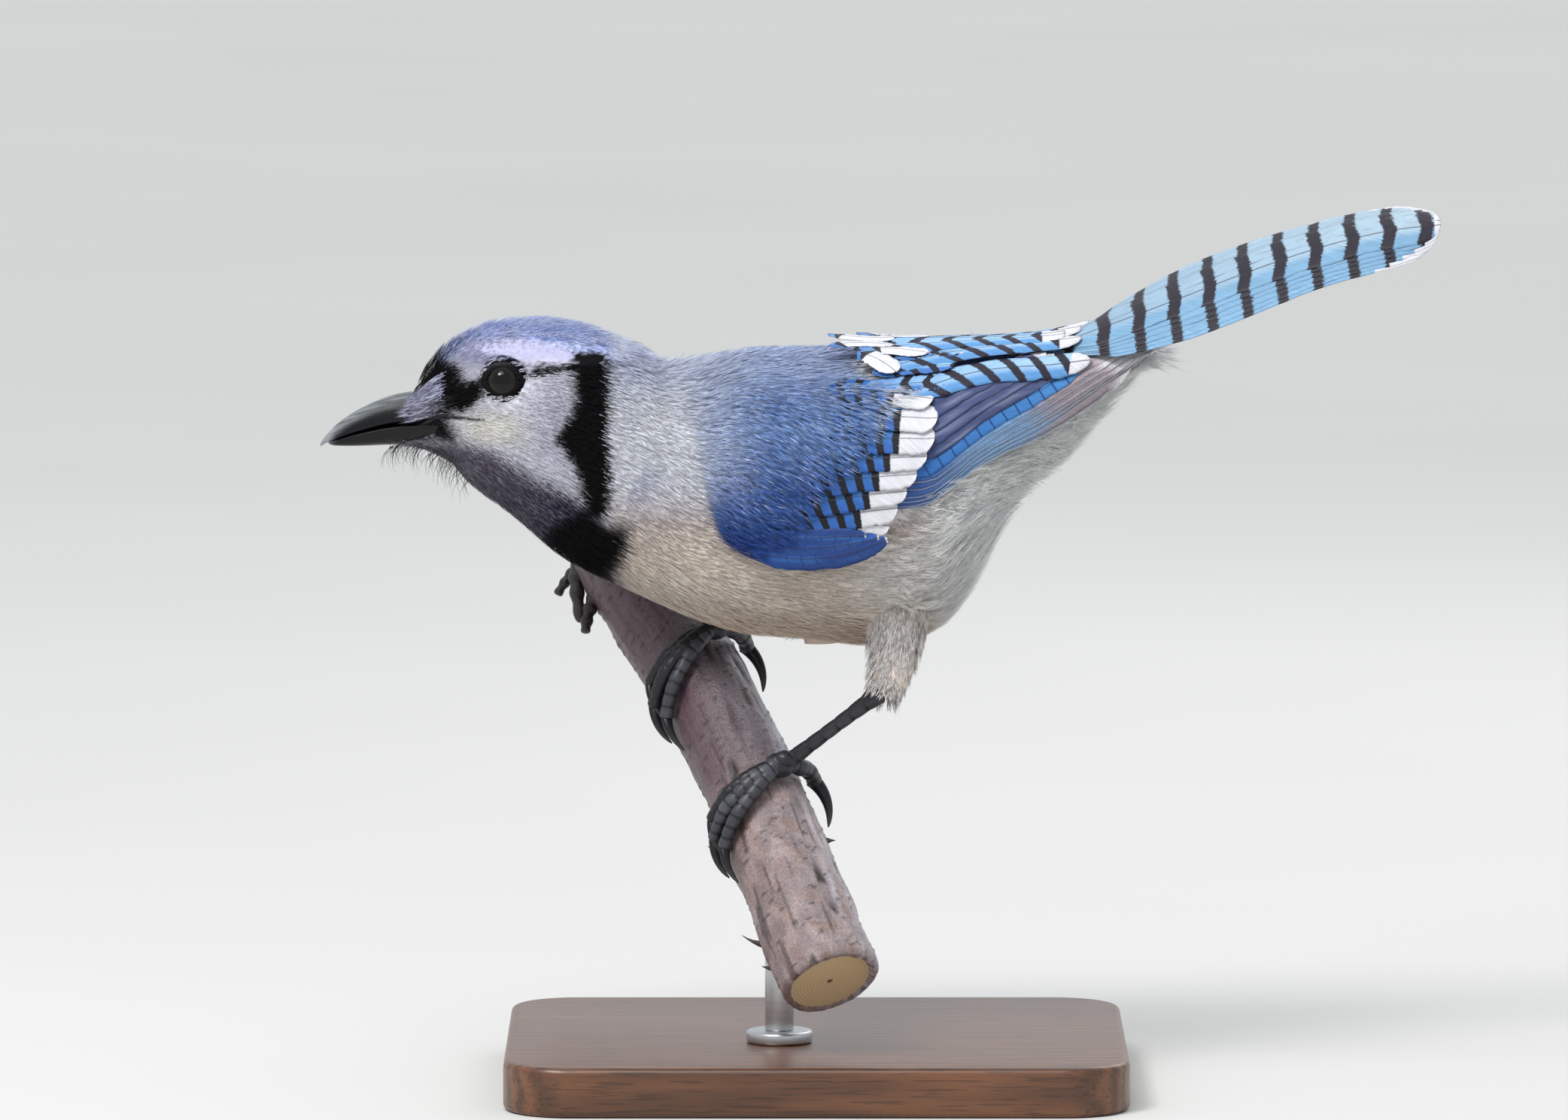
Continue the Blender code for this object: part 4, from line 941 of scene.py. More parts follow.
def add_wing(name, side, material):
    surface = shell(side)
    pieces = {key: Sheaf() for key in ("coverts", "alula", "tertials", "secondaries", "primaries")}
    for i, (x, h, degrees, white) in enumerate(GREATER_COVERTS):
        base = backwards((x, h), degrees, GREATER_LENGTH)
        wide = 4.0 if i < 3 else 3.4
        vane(pieces["coverts"], surface, side_line(base, (x, h), 0.4), (wide, wide), 0.15 + 0.07 * i,
             plain("#1f4d9c", "#3f86cc", "#2f62b0"), white=white, bar=(4.1, 0.45, 20.0, 0.10),
             tilt=1.05, camber=0.12, round_tip=0.16, seed=100 + i)
    for i, (x, h, degrees, white, length, wide, depth) in enumerate(INNER_COVERTS):
        base = backwards((x, h), degrees, length)
        vane(pieces["coverts"], surface, side_line(base, (x, h), 0.6), (wide, wide), depth,
             plain("#5f90cc", "#9cc4e8", "#3f72b8"), bars="#1a1a26", white=white, bar=(5.4, 0.38, 16.0, 0.5),
             tilt=0.35, camber=0.15, round_tip=0.34, seed=130 + i)
    for i, (base, tip, bow, low, high, depth) in enumerate(ALULA):
        vane(pieces["alula"], surface, side_line(base, tip, bow), (low, high), depth,
             streaky("#1c468c", "#1f3a78", "#2f66b0", 150 + i), bars="#173a78", white=0.5,
             bar=(3.5, 0.10, 26.0, 0.3), tilt=0.5, camber=0.25, round_tip=0.4, seed=150 + i)
    for i, (base, tip, bow, low, high, depth) in enumerate(TERTIALS):
        vane(pieces["tertials"], surface, side_line(base, tip, bow), (low, high), depth,
             plain("#86b2de", "#a9cbe8", "#5f97cf"), bars="#241f2e", white=5.6, bar=(7.0, 0.36, 0.0, 0.62),
             tilt=0.3, camber=0.6, round_tip=0.2, seed=160 + i, shaft=0.2, swept=True)
    for i, (base, tip, bow, low, high, depth) in enumerate(SECONDARIES):
        last = i == len(SECONDARIES) - 1
        vane(pieces["secondaries"], surface, side_line(base, tip, bow), (low, high), depth,
             plain("#2560ac", "#4687c4") if last else streaky("#2b3a6a", "#4c5478", "#848da8", 170 + i),
             bars="#1c4480" if last else "#3b3f5e", white=1.0 if last else 3.0,
             bar=(3.6, 0.12, 0.0, 0.15) if last else (3.6, 0.0, 0.0, 0.0),
             tilt=0.5, camber=0.1, round_tip=0.14, seed=170 + i)
    for i, (base, tip, bow, low, high, depth) in enumerate(PRIMARIES):
        vane(pieces["primaries"], surface, side_line(base, tip, bow), (low, high), depth,
             quill_colour, white=0.0, tilt=0.5, camber=0.1, round_tip=0.12, seed=180 + i)
    for key, sheaf in pieces.items():
        piece = sheaf.make(f"{name}_{key}_feathers", material)
        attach(piece, "root")
        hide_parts(f"wing_{name}_{key}")


TAIL_END = 150.6
# Tail feathers of one side, middle to edge: place across, width inside and outside, depth, white tip.
RECTRICES = (
    (0.10, 6.4, 6.4, 0.0, 1.6), (0.27, 6.4, 5.4, 0.24, 4.0), (0.43, 6.4, 4.6, 0.46, 6.0),
    (0.57, 6.4, 4.0, 0.68, 8.0), (0.70, 6.4, 3.4, 0.90, 10.0), (0.82, 6.4, 2.6, 1.12, 12.0),
)


def add_tail(material):
    for name, side in (("left", -1), ("right", 1)):
        sheaf = Sheaf()
        for i, (share, inner, outer, depth, white) in enumerate(RECTRICES):
            end = TAIL_END - 8.0 * share**2.6
            place = side * share
            low, high = (outer, inner) if side < 0 else (inner, outer)
            vane(sheaf, tail_surface, ((52.0, place), ((52.0 + end) / 2, place), (end, place)), (low, high),
                 depth + (0.12 if side > 0 else 0.0),
                 plain("#8caac4", "#aec5d4", "#7ba5c6" if side < 0 else None), bars="#241e2a", white=white,
                 bar=(9.1, 0.36 if i == 0 else 0.30, 0.0, -0.22), tilt=0.0, camber=0.25, round_tip=0.10,
                 seed=200 + 10 * i + side, shaft=0.22, first_bar=RECTRICES[0][4] - (TAIL_END - end))
        piece = sheaf.make(f"tail_{name}_feathers", material)
        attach(piece, "root")
        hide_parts(*(("tail_left", "tail_middle") if side < 0 else ("tail_right",)))


def vane_material():
    """Flight feathers: firm keratin vanes, barbs zipped flat, with a soft gloss along them."""
    material, tree, shader = new_material("flight_feather", {"Roughness": 0.5, "Specular IOR Level": 0.35})
    base = node(tree, "ShaderNodeAttribute", {"attribute_name": "Plumage"})
    dark = node(tree, "ShaderNodeAttribute", {"attribute_name": "Bars"})
    place = node(tree, "ShaderNodeAttribute", {"attribute_name": "vane"})
    marks = node(tree, "ShaderNodeAttribute", {"attribute_name": "marks"})
    where = node(tree, "ShaderNodeSeparateXYZ", None, {0: place.outputs["Vector"]})
    mark = node(tree, "ShaderNodeSeparateXYZ", None, {0: marks.outputs["Vector"]})

    def math_node(operation, *values):
        return node(tree, "ShaderNodeMath", {"operation": operation}, dict(enumerate(values))).outputs[0]

    across = math_node("ABSOLUTE", where.outputs["X"])
    slant = math_node("MULTIPLY_ADD", across, 1.3, where.outputs["Y"])
    # Barbs lie some 0.3 mm apart and slant towards the tip; clumps of them show as fine streaks.
    streak_place = node(tree, "ShaderNodeCombineXYZ", None, {
        0: math_node("MULTIPLY", slant, 2.6), 1: math_node("MULTIPLY", where.outputs["X"], 0.22),
        2: math_node("MULTIPLY", mark.outputs["Y"], 7.0),
    })
    streaks = node(tree, "ShaderNodeTexNoise", None, {
        "Vector": streak_place.outputs[0], "Scale": 1.0, "Detail": 3.0, "Roughness": 0.6,
    }).outputs["Fac"]
    stray = math_node("MULTIPLY", math_node("SUBTRACT", streaks, 0.5), 0.22)
    phase = math_node("ADD", where.outputs["Z"], stray)
    near = math_node("MULTIPLY", math_node("ABSOLUTE", math_node("SUBTRACT", math_node("FRACT", phase), 0.5)), 2.0)
    near = math_node("SUBTRACT", 1.0, near)
    barred = node(tree, "ShaderNodeMapRange", {"interpolation_type": "SMOOTHSTEP"}, {
        "Value": near, "From Min": math_node("ADD", mark.outputs["X"], 0.05),
        "From Max": math_node("SUBTRACT", mark.outputs["X"], 0.05),
    }).outputs["Result"]
    first = node(tree, "ShaderNodeMix", {"data_type": "RGBA"}, {
        0: barred, 6: base.outputs["Color"], 7: dark.outputs["Color"],
    }).outputs[2]
    edge = math_node("ADD", where.outputs["Y"], math_node("MULTIPLY", stray, 4.0))
    tipped = node(tree, "ShaderNodeMapRange", {"interpolation_type": "SMOOTHSTEP"}, {
        "Value": math_node("SUBTRACT", edge, mark.outputs["Y"]), "From Min": 0.2, "From Max": -0.2,
    }).outputs["Result"]
    second = node(tree, "ShaderNodeMix", {"data_type": "RGBA"}, {
        0: tipped, 6: first, 7: (*linear("#dddce2"), 1.0),
    }).outputs[2]
    shaft = node(tree, "ShaderNodeMapRange", {"interpolation_type": "SMOOTHSTEP"}, {
        "Value": math_node("SUBTRACT", across, mark.outputs["Z"]), "From Min": 0.1, "From Max": -0.05,
        "To Max": 0.65,
    }).outputs["Result"]
    third = node(tree, "ShaderNodeMix", {"data_type": "RGBA"}, {
        0: shaft, 6: second, 7: (*linear("#2d2a3a"), 1.0),
    }).outputs[2]
    tone = node(tree, "ShaderNodeMapRange", None, {
        "Value": streaks, "From Min": 0.25, "From Max": 0.75, "To Min": 0.74, "To Max": 1.10,
    })
    final = node(tree, "ShaderNodeMix", {"data_type": "RGBA", "blend_type": "MULTIPLY"}, {
        0: 1.0, 6: third, 7: tone.outputs["Result"],
    }).outputs[2]
    tree.links.new(final, shader.inputs["Base Color"])
    bumped = node(tree, "ShaderNodeBump", None, {"Height": streaks, "Strength": 0.35, "Distance": 0.0002})
    tree.links.new(bumped.outputs["Normal"], shader.inputs["Normal"])
    return material


# Branch: centre line from its upper end down towards the viewer, and its radius at each point.
PERCH_LINE = (
    (-51.0, 48.5, 128.0), (-39.5, 32.5, 111.0), (-28.6, 18.0, 96.0), (-14.2, -6.0, 69.6), (-5.1, -24.0, 49.0),
    (3.1, -41.0, 30.4),
)
PERCH_RADII = (11.3, 11.6, 11.7, 11.6, 11.8, 12.2)
HEELS = {"left": (15.2, -23.0, 97.6), "right": (9.5, 17.5, 114.0)}
THIGHS = {
    "left": ((20.6, -10.0, 121.0), (18.4, -17.0, 106.0), (15.8, -22.8, 96.2)),
    "right": ((16.3, 15.4, 121.3), (8.2, 17.2, 113.4), (-4.0, 15.9, 111.0)),
}
THIGH_RADII = (8.6, 6.0, 4.0)
GRIP_PLACES = {"left": 0.608, "right": 0.375}
# Toes: first and last angle round the branch, drift along it, length of claw, thickness, number of scales.
TOES = {
    "inner": (4, 90, 4.6, 9.5, 2.05, 9),
    "middle": (4, 98, 0.4, 10.5, 2.2, 10),
    "outer": (4, 88, -4.0, 9.5, 2.0, 9),
    "hind": (-5, -62, 0.5, 12.0, 2.3, 5),
}
# How far down the branch the front toes run as they go round it.
TOE_SLOPE = 8.0


def unit(vector):
    vector = np.asarray(vector, float)
    return vector / np.linalg.norm(vector)


def along(points, count, values=None):
    """Points at even steps on a smooth line through the given ones, and the values between theirs."""
    points = np.array(points, float)
    place = np.linspace(0, len(points) - 1, count)
    index = np.minimum(place.astype(int), len(points) - 2)
    t = (place - index)[:, None]
    a, b, c, d = (points[np.clip(index + k, 0, len(points) - 1)] for k in (-1, 0, 1, 2))
    line = 0.5 * (2 * b + (c - a) * t + (2 * a - 5 * b + 4 * c - d) * t**2 + (3 * b - a - 3 * c + d) * t**3)
    if values is None:
        return line
    return line, np.interp(place, np.arange(len(points)), values)


PERCH_PATH, PERCH_SIZES = along(PERCH_LINE, 401, PERCH_RADII)
PERCH_LENGTH = np.sum(np.linalg.norm(np.diff(PERCH_PATH, axis=0), axis=1))


def perch_frame(share):
    index = round(share * 400)
    direction = unit(PERCH_PATH[max(index - 2, 0)] - PERCH_PATH[min(index + 2, 400)])
    top = unit(np.array([0, 0, 1]) - direction * direction[2])
    return PERCH_PATH[index], direction, top, -np.cross(direction, top), PERCH_SIZES[index]


def round_perch(share, angle, raise_by):
    """A point over the bark, turned from the branch's top towards its front by an angle in degrees."""
    centre, _, top, front, radius = perch_frame(share)
    turn = math.radians(angle)
    return centre + (top * math.cos(turn) + front * math.sin(turn)) * (radius + raise_by)


def frames(path, up):
    """Headings along a path, with a side and an upward direction at each point."""
    heading = np.gradient(path, axis=0)
    heading /= np.linalg.norm(heading, axis=1, keepdims=True)
    up = np.broadcast_to(up, heading.shape)
    side = np.cross(heading, up)
    side /= np.linalg.norm(side, axis=1, keepdims=True)
    return heading, side, np.cross(side, heading)


def tube(path, radii, sides, up, tall=1.0):
    """A closed round bar along a path in mm; radii is one value a ring or a grid over ring and side."""
    heading, side, top = frames(path, up)
    turn = np.linspace(0, 2 * math.pi, sides, endpoint=False)
    radii = np.asarray(radii, float)
    if radii.ndim == 1:
        radii = radii[:, None] + 0 * turn[None, :]
    ring = (
        path[:, None, :]
        + (radii * np.cos(turn))[..., None] * side[:, None, :]
        + (radii * np.sin(turn) * tall)[..., None] * top[:, None, :]
    )
    rows = len(path)
    grid = np.arange(rows * sides).reshape(rows, sides)
    a, b = grid[:-1], np.roll(grid[:-1], -1, axis=1)
    c, d = np.roll(grid[1:], -1, axis=1), grid[1:]
    faces = [np.stack([a, c, b], -1).reshape(-1, 3), np.stack([a, d, c], -1).reshape(-1, 3)]
    points = np.concatenate([ring.reshape(-1, 3), path[:1], path[-1:]])
    first, last = rows * sides, rows * sides + 1
    start, end = grid[0], grid[-1]
    faces.append(np.stack([start, np.roll(start, -1), np.full(sides, first)], -1))
    faces.append(np.stack([np.roll(end, -1), end, np.full(sides, last)], -1))
    faces = np.concatenate(faces)
    corner = points[faces] - points.mean(axis=0)
    if np.sum(corner[:, 0] * np.cross(corner[:, 1], corner[:, 2])) < 0:
        faces = faces[:, ::-1]
    return points * MM, faces


class Heap:
    """Gathers closed shapes of triangles, each with its own colours, into one piece."""

    def __init__(self):
        self.points, self.faces, self.colours, self.count = [], [], [], 0

    def add(self, points, faces, colours):
        self.points.append(points)
        self.faces.append(faces + self.count)
        self.colours.append(np.broadcast_to(colours, points.shape))
        self.count += len(points)

    def make(self, name, material, slot, replaces=()):
        mesh = new_mesh(name, np.concatenate(self.points), np.concatenate(self.faces))
        set_colour(mesh, "Tone", np.clip(np.concatenate(self.colours), 0, 1))
        mesh.shade_smooth()
        piece = add_object(name, mesh, material)
        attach(piece, "root")
        if replaces:
            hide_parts(*replaces)
        return piece


def toned_material(name, values, scale, low, high, bump=0.3, bump_size=0.0002):
    """A surface whose colour comes from its own Tone, with a fine grain in its colour and its bump."""
    material, tree, shader = new_material(name, values)
    colour = node(tree, "ShaderNodeAttribute", {"attribute_name": "Tone"})
    place = node(tree, "ShaderNodeTexCoord")
    grain = node(tree, "ShaderNodeTexNoise", None, {
        "Vector": place.outputs["Object"], "Scale": scale, "Detail": 4.0, "Roughness": 0.6,
    })
    tone = node(tree, "ShaderNodeMapRange", None, {
        "Value": grain.outputs["Fac"], "From Min": 0.3, "From Max": 0.7, "To Min": low, "To Max": high,
    })
    mixed = node(tree, "ShaderNodeMix", {"data_type": "RGBA", "blend_type": "MULTIPLY"}, {
        0: 1.0, 6: colour.outputs["Color"], 7: tone.outputs["Result"],
    })
    tree.links.new(mixed.outputs[2], shader.inputs["Base Color"])
    bumped = node(tree, "ShaderNodeBump", None, {
        "Height": grain.outputs["Fac"], "Strength": bump, "Distance": bump_size,
    })
    tree.links.new(bumped.outputs["Normal"], shader.inputs["Normal"])
    return material


def alone(obj):
    """Selects one object and nothing else."""
    bpy.ops.object.select_all(action="DESELECT")
    obj.select_set(True)
    bpy.context.view_layer.objects.active = obj


def finished(obj, kind, **settings):
    """Adds a modifier with its settings and applies it."""
    alone(obj)
    modifier = obj.modifiers.new("finish", kind)
    for key, value in settings.items():
        setattr(modifier, key, value)
    bpy.ops.object.modifier_apply(modifier="finish")


def subdivided(obj, levels):
    finished(obj, "SUBSURF", levels=levels, render_levels=levels)


def places_of(obj):
    """The points of a mesh in mm."""
    return np.array([point.co for point in obj.data.vertices]) / MM


def toned(obj, colours):
    set_colour(obj.data, "Tone", np.clip(np.broadcast_to(colours, (len(obj.data.vertices), 3)), 0, 1))
    return obj


def choose(obj, test):
    """Selects the points of a mesh in edit mode whose place in mm passes a test."""
    mesh = bmesh.from_edit_mesh(obj.data)
    for point in mesh.verts:
        point.select_set(bool(test(np.array(point.co) / MM)))
    mesh.select_flush_mode()
    bmesh.update_edit_mesh(obj.data)


def joined(parts, name, material, nodes=()):
    """Joins finished parts into one piece, names it and ties it to the body."""
    bpy.ops.object.select_all(action="DESELECT")
    for part in parts:
        part.select_set(True)
    bpy.context.view_layer.objects.active = parts[0]
    bpy.ops.object.transform_apply(location=True, rotation=True, scale=True)
    if len(parts) > 1:
        bpy.ops.object.join()
    piece = bpy.context.object
    piece.name = name
    piece.data.name = name
    piece.data.shade_smooth()
    piece.data.materials.clear()
    piece.data.materials.append(material)
    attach(piece, "root")
    if nodes:
        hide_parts(*nodes)
    return piece


def drawn_bar(rings, sides, tall=1.0):
    """A closed bar along X: a circle extruded and resized to each ring, given as its place and radius."""
    x, radius = rings[0]
    bpy.ops.object.select_all(action="DESELECT")
    bpy.ops.mesh.primitive_circle_add(
        vertices=sides, radius=radius * MM, fill_type="NGON", rotation=(0, math.pi / 2, 0), location=(x * MM, 0, 0)
    )
    bar = bpy.context.object
    bpy.ops.object.transform_apply(location=True, rotation=True)
    bpy.ops.object.mode_set(mode="EDIT")
    bpy.ops.mesh.select_all(action="SELECT")
    bpy.ops.transform.resize(value=(1, 1, tall), center_override=(x * MM, 0, 0))
    for next_x, next_radius in rings[1:]:
        bpy.ops.mesh.extrude_region_move(TRANSFORM_OT_translate={"value": ((next_x - x) * MM, 0, 0)})
        size = next_radius / radius
        bpy.ops.transform.resize(value=(1, size, size), center_override=(next_x * MM, 0, 0))
        x, radius = next_x, next_radius
    bpy.ops.mesh.select_all(action="SELECT")
    bpy.ops.mesh.normals_make_consistent(inside=False)
    bpy.ops.object.mode_set(mode="OBJECT")
    return bar


def bent(bar, path, up):
    """Bends a bar that lies along X onto a path in mm, with its upper side turned towards up."""
    data = bpy.data.curves.new("guide", "CURVE")
    data.dimensions = "3D"
    line = data.splines.new("POLY")
    line.points.add(len(path) - 1)
    for spot, place in zip(line.points, path):
        spot.co = (*(np.array(place) * MM), 1)
    guide = bpy.data.objects.new("guide", data)
    bpy.context.scene.collection.objects.link(guide)
    bend = bar.modifiers.new("bend", "CURVE")
    bend.object = guide
    heading = unit(path[1] - path[0])
    wanted = unit(up - heading * np.dot(up, heading))
    points = places_of(bar)
    first = np.flatnonzero(points[:, 0] < points[:, 0].min() + 0.05)
    mark = int(first[np.argmax(points[first, 2])])

    def leaning(tilt):
        for spot in line.points:
            spot.tilt = tilt
        bpy.context.view_layer.update()
        seen = bar.evaluated_get(bpy.context.evaluated_depsgraph_get())
        offset = np.array(seen.data.vertices[mark].co) / MM - path[0]
        return offset - heading * np.dot(offset, heading)

    offset = unit(leaning(0.0))
    angle = math.atan2(np.dot(np.cross(offset, wanted), heading), np.dot(offset, wanted))
    best = max((angle, -angle), key=lambda tilt: np.dot(unit(leaning(tilt)), wanted))
    leaning(best)
    alone(bar)
    bpy.ops.object.modifier_apply(modifier="bend")
    bpy.data.objects.remove(guide)
    return bar


def length_of(path):
    return float(np.sum(np.linalg.norm(np.diff(path, axis=0), axis=1)))


# One scale along a leg or toe: how far along it a ring sits, and how much it swells.
SCALE_RINGS = ((0.0, 0.96), (0.14, 1.0), (0.82, 1.05), (0.94, 0.94))


def scaly_bar(path, radii, scales, up, rng):
    """A leg or toe: a bar whose scales each swell to a ledge over the next, bent onto its path."""
    path = along(path, 60)
    length = length_of(path)
    keys = np.linspace(0, 1, len(radii))
    rings = [
        ((step + share) / scales * length, np.interp((step + share) / scales, keys, radii) * swell)
        for step in range(scales) for share, swell in SCALE_RINGS
    ]
    rings.append((length, radii[-1] * 0.85))
    bar = drawn_bar(rings, 16)
    subdivided(bar, 1)
    points = places_of(bar)
    step = points[:, 0] / length * scales % 1
    above = smooth(-0.7, 0.4, points[:, 2] / max(radii))
    plate = smooth(0.03, 0.2, step) * smooth(0.99, 0.86, step) * above
    plates = rng.uniform(0.65, 1.25, scales + 1)[np.minimum((points[:, 0] / length * scales).astype(int), scales)]
    colours = blend(np.ones(points.shape) * linear("#15151a"), linear("#46464e"), 0.85 * plate)
    toned(bar, colours * plates[:, None] * (1 + 0.08 * rng.normal(0, 1, (len(points), 1))))
    return bent(bar, path, up)


def claw_model():
    """One claw a millimetre long: a tapering bar, deeper than it is thick, bent to a hook."""
    t = np.linspace(0, 1, 12)
    bar = drawn_bar([(place, 0.11 * (1 - place) ** 0.7 + 0.010) for place in t], 12, 1.25)
    points = places_of(bar)
    toned(bar, blend(np.ones(points.shape) * linear("#17171c"), linear("#4f4b48"), points[:, 0] ** 3))
    turn = math.radians(62) * t
    radius = 1 / math.radians(62)
    hook = np.stack([radius * np.sin(turn), 0 * t, radius * (np.cos(turn) - 1)], axis=-1)
    return bent(bar, hook, np.array([0.0, 0.0, 1.0]))


def foot_pad(centre, axes, size):
    """A rounded pad of the foot, lumpy with small granular scales."""
    bpy.ops.object.select_all(action="DESELECT")
    bpy.ops.mesh.primitive_uv_sphere_add(segments=32, ring_count=20, radius=MM)
    pad = bpy.context.object
    turned = Matrix(np.stack(axes, axis=1).tolist()).to_4x4()
    pad.matrix_world = Matrix.Translation(Vector(centre * MM)) @ turned @ Matrix.Diagonal((*size, 1))
    bpy.ops.object.transform_apply(location=True, rotation=True, scale=True)
    grains = bpy.data.textures.new("grains", "VORONOI")
    grains.noise_scale = 1.1 * MM
    finished(pad, "DISPLACE", texture=grains, strength=0.25 * MM, mid_level=0.5)
    return toned(pad, linear("#1f1f26"))


def add_legs(scales, horn):
    rng = np.random.default_rng(71)
    model = claw_model()
    for side in ("left", "right"):
        grip, mirror = GRIP_PLACES[side], 1 if side == "left" else -1
        _, direction, top, front, _ = perch_frame(grip)
        heel, ankle = np.array(HEELS[side]), round_perch(grip, -3, 2.6)
        shank = heel + (ankle - heel) * np.linspace(0, 1, 5)[:, None]
        forward = np.cross(ankle - heel, np.cross([-1.0, 0, 0.3], ankle - heel))
        axes = (direction, front, np.cross(direction, front))
        foot = [
            scaly_bar(shank, (2.6, 2.0, 1.75, 1.7, 1.75, 1.9, 2.5), 7 if side == "left" else 4, forward, rng),
            foot_pad(round_perch(grip, 0, 3.2), axes, (3.3, 3.6, 2.9)),
            foot_pad(round_perch(grip, -2, 5.2), axes, (2.3, 2.6, 2.2)),
        ]
        claws = []
        for first, last, drift, claw, thickness, count in TOES.values():
            share = np.linspace(0, 1, 9)
            lift = 0.3 + 1.1 * thickness + 0.7 * (1 - share) ** 2
            slope = TOE_SLOPE if last > 0 else 0.0
            path = np.array([
                round_perch(grip + (slope * u - mirror * drift * u**0.8) / PERCH_LENGTH, first + (last - first) * u, rise)
                for u, rise in zip(share, lift)
            ])
            knuckles = thickness * (1 - 0.20 * share) * (1 + 0.10 * np.cos(2 * math.pi * 3 * share))
            outward = path[0] - perch_frame(grip)[0]
            foot.append(scaly_bar(path, knuckles, count, outward, rng))
            # The claws turn down along the branch, and hook in towards it.
            off_bark = unit(path[-1] - perch_frame(grip + slope / PERCH_LENGTH)[0])
            heading = unit(0.35 * unit(path[-1] - path[-2]) - 0.8 * direction + 0.45 * off_bark)
            side_way = unit(np.cross(off_bark, heading))
            hook = model.copy()
            hook.data = model.data.copy()
            bpy.context.scene.collection.objects.link(hook)
            turned = Matrix((np.stack([heading, side_way, np.cross(heading, side_way)], axis=1)).tolist())
            start = Vector((path[-1] - heading * 0.8) * MM)
            hook.data.transform(Matrix.Translation(start) @ turned.to_4x4() @ Matrix.Scale(claw + 1.0, 4))
            claws.append(hook)
        joined(foot, f"foot_{side}_scaly", scales, (f"foot_{side}", f"tarsus_{side}"))
        joined(claws, f"claws_{side}_curved", horn, [f"claw_{side}_{toe}" for toe in TOES])
    bpy.data.objects.remove(model)


# Lines of the bill, each as place along X and height, and last its half width.
BILL_RIDGE = (
    (-120.0, 154.6), (-118.6, 156.6), (-115.6, 159.7), (-112.4, 162.0), (-109.0, 163.9), (-102.4, 166.6),
    (-90.0, 168.6),
)
BILL_GAPE = (
    (-120.0, 153.9), (-118.6, 154.9), (-115.6, 156.0), (-112.4, 157.2), (-109.0, 158.2), (-102.4, 159.8),
    (-90.0, 161.2),
)
BILL_UNDER = (
    (-118.4, 154.9), (-116.5, 154.2), (-112.4, 154.1), (-105.6, 154.3), (-98.0, 154.7), (-90.0, 155.5),
)
BILL_HALF = (
    (-120.0, 0.25), (-118.6, 0.9), (-115.6, 1.8), (-112.4, 2.6), (-109.0, 3.3), (-102.4, 4.8),
    (-98.5, 6.1), (-95.0, 7.5), (-91.0, 9.3), (-88.0, 10.2),
)
BILL_ROOT = -88.0
BILL_LIFT = 0.9
BILL_STEPS = 20


def bill_blade(upper):
    """One half of the bill: a ring flattened along the gape, extruded and narrowed to the tip."""
    ridge, gape, under, half = keyed(BILL_RIDGE), keyed(BILL_GAPE), keyed(BILL_UNDER), keyed(BILL_HALF)
    tip = -119.9 if upper else -117.9
    xs = BILL_ROOT + (tip - BILL_ROOT) * (1 - (1 - np.linspace(0, 1, BILL_STEPS)) ** 1.5)
    far = (ridge(xs) if upper else under(xs)) + BILL_LIFT
    edge = gape(xs) + BILL_LIFT
    middles = edge + (0.12 if upper else 0.2) * (far - edge)
    talls, halves = np.abs(far - middles), half(xs) * (1.0 if upper else 0.93)
    bpy.ops.object.select_all(action="DESELECT")
    bpy.ops.mesh.primitive_circle_add(
        vertices=24, radius=MM, fill_type="NGON", rotation=(0, -math.pi / 2, 0),
        location=(xs[0] * MM, 0, middles[0] * MM),
    )
    blade = bpy.context.object
    bpy.ops.object.transform_apply(location=True, rotation=True)
    bpy.ops.object.mode_set(mode="EDIT")
    bpy.ops.mesh.select_mode(type="VERT")
    bpy.ops.mesh.select_all(action="SELECT")
    centre = (xs[0] * MM, 0, middles[0] * MM)
    bpy.ops.transform.resize(value=(1, halves[0], talls[0]), center_override=centre)
    choose(blade, lambda place: (place[2] < middles[0] - 0.01) == upper)
    bpy.ops.transform.resize(value=(1, 1, 0.2), center_override=centre)
    bpy.ops.mesh.select_all(action="SELECT")
    for i in range(1, BILL_STEPS):
        move = ((xs[i] - xs[i - 1]) * MM, 0, (middles[i] - middles[i - 1]) * MM)
        bpy.ops.mesh.extrude_region_move(TRANSFORM_OT_translate={"value": move})
        size = (1, halves[i] / halves[i - 1], talls[i] / talls[i - 1])
        bpy.ops.transform.resize(value=size, center_override=(xs[i] * MM, 0, middles[i] * MM))
    bpy.ops.mesh.select_all(action="SELECT")
    bpy.ops.mesh.normals_make_consistent(inside=False)
    bpy.ops.object.mode_set(mode="OBJECT")
    subdivided(blade, 2)
    return blade


def add_bill(horn):
    """Two horny blades closed along the gape, the upper one longer, with its edge over the lower."""
    for name in ("upper", "lower"):
        blade = bill_blade(name == "upper")
        x, y, z = places_of(blade).T
        tip = smooth(-115.5, -119.8, x)
        # The horn goes paler grey towards the tip. Along the upper ridge, an uneven painted highlight stands for the
        # reflection of light on the culmen.
        ridge = smooth(3.4, 0.8, keyed(BILL_RIDGE)(x) + BILL_LIFT - z) * smooth(-90, -98, x)
        ridge_highlight = ridge * (0.45 + 0.4 * smooth(-0.4, 0.8, waves(x * 0.4, z * 3 + y * 3, 6, 31)))
        toned(blade, blend(np.ones((len(x), 3)) * linear("#090a0d"), linear("#85898d"), np.clip(tip + ridge_highlight, 0, 1)))
        joined([blade], f"bill_{name}_blade", horn, (f"bill_{name}",))


# Ring of bare skin round the eye: half its width and height, its thickness, and its place before the ball.
LID_WIDE = 3.95
LID_TALL = 3.3
LID_THICKNESS = 0.46
LID_DEPTH = 3.8
# The lid's outer edge flares back into the feathers: how much wider it gets, and how far back.
LID_FLARE = 1.08
LID_SET_BACK = 0.8


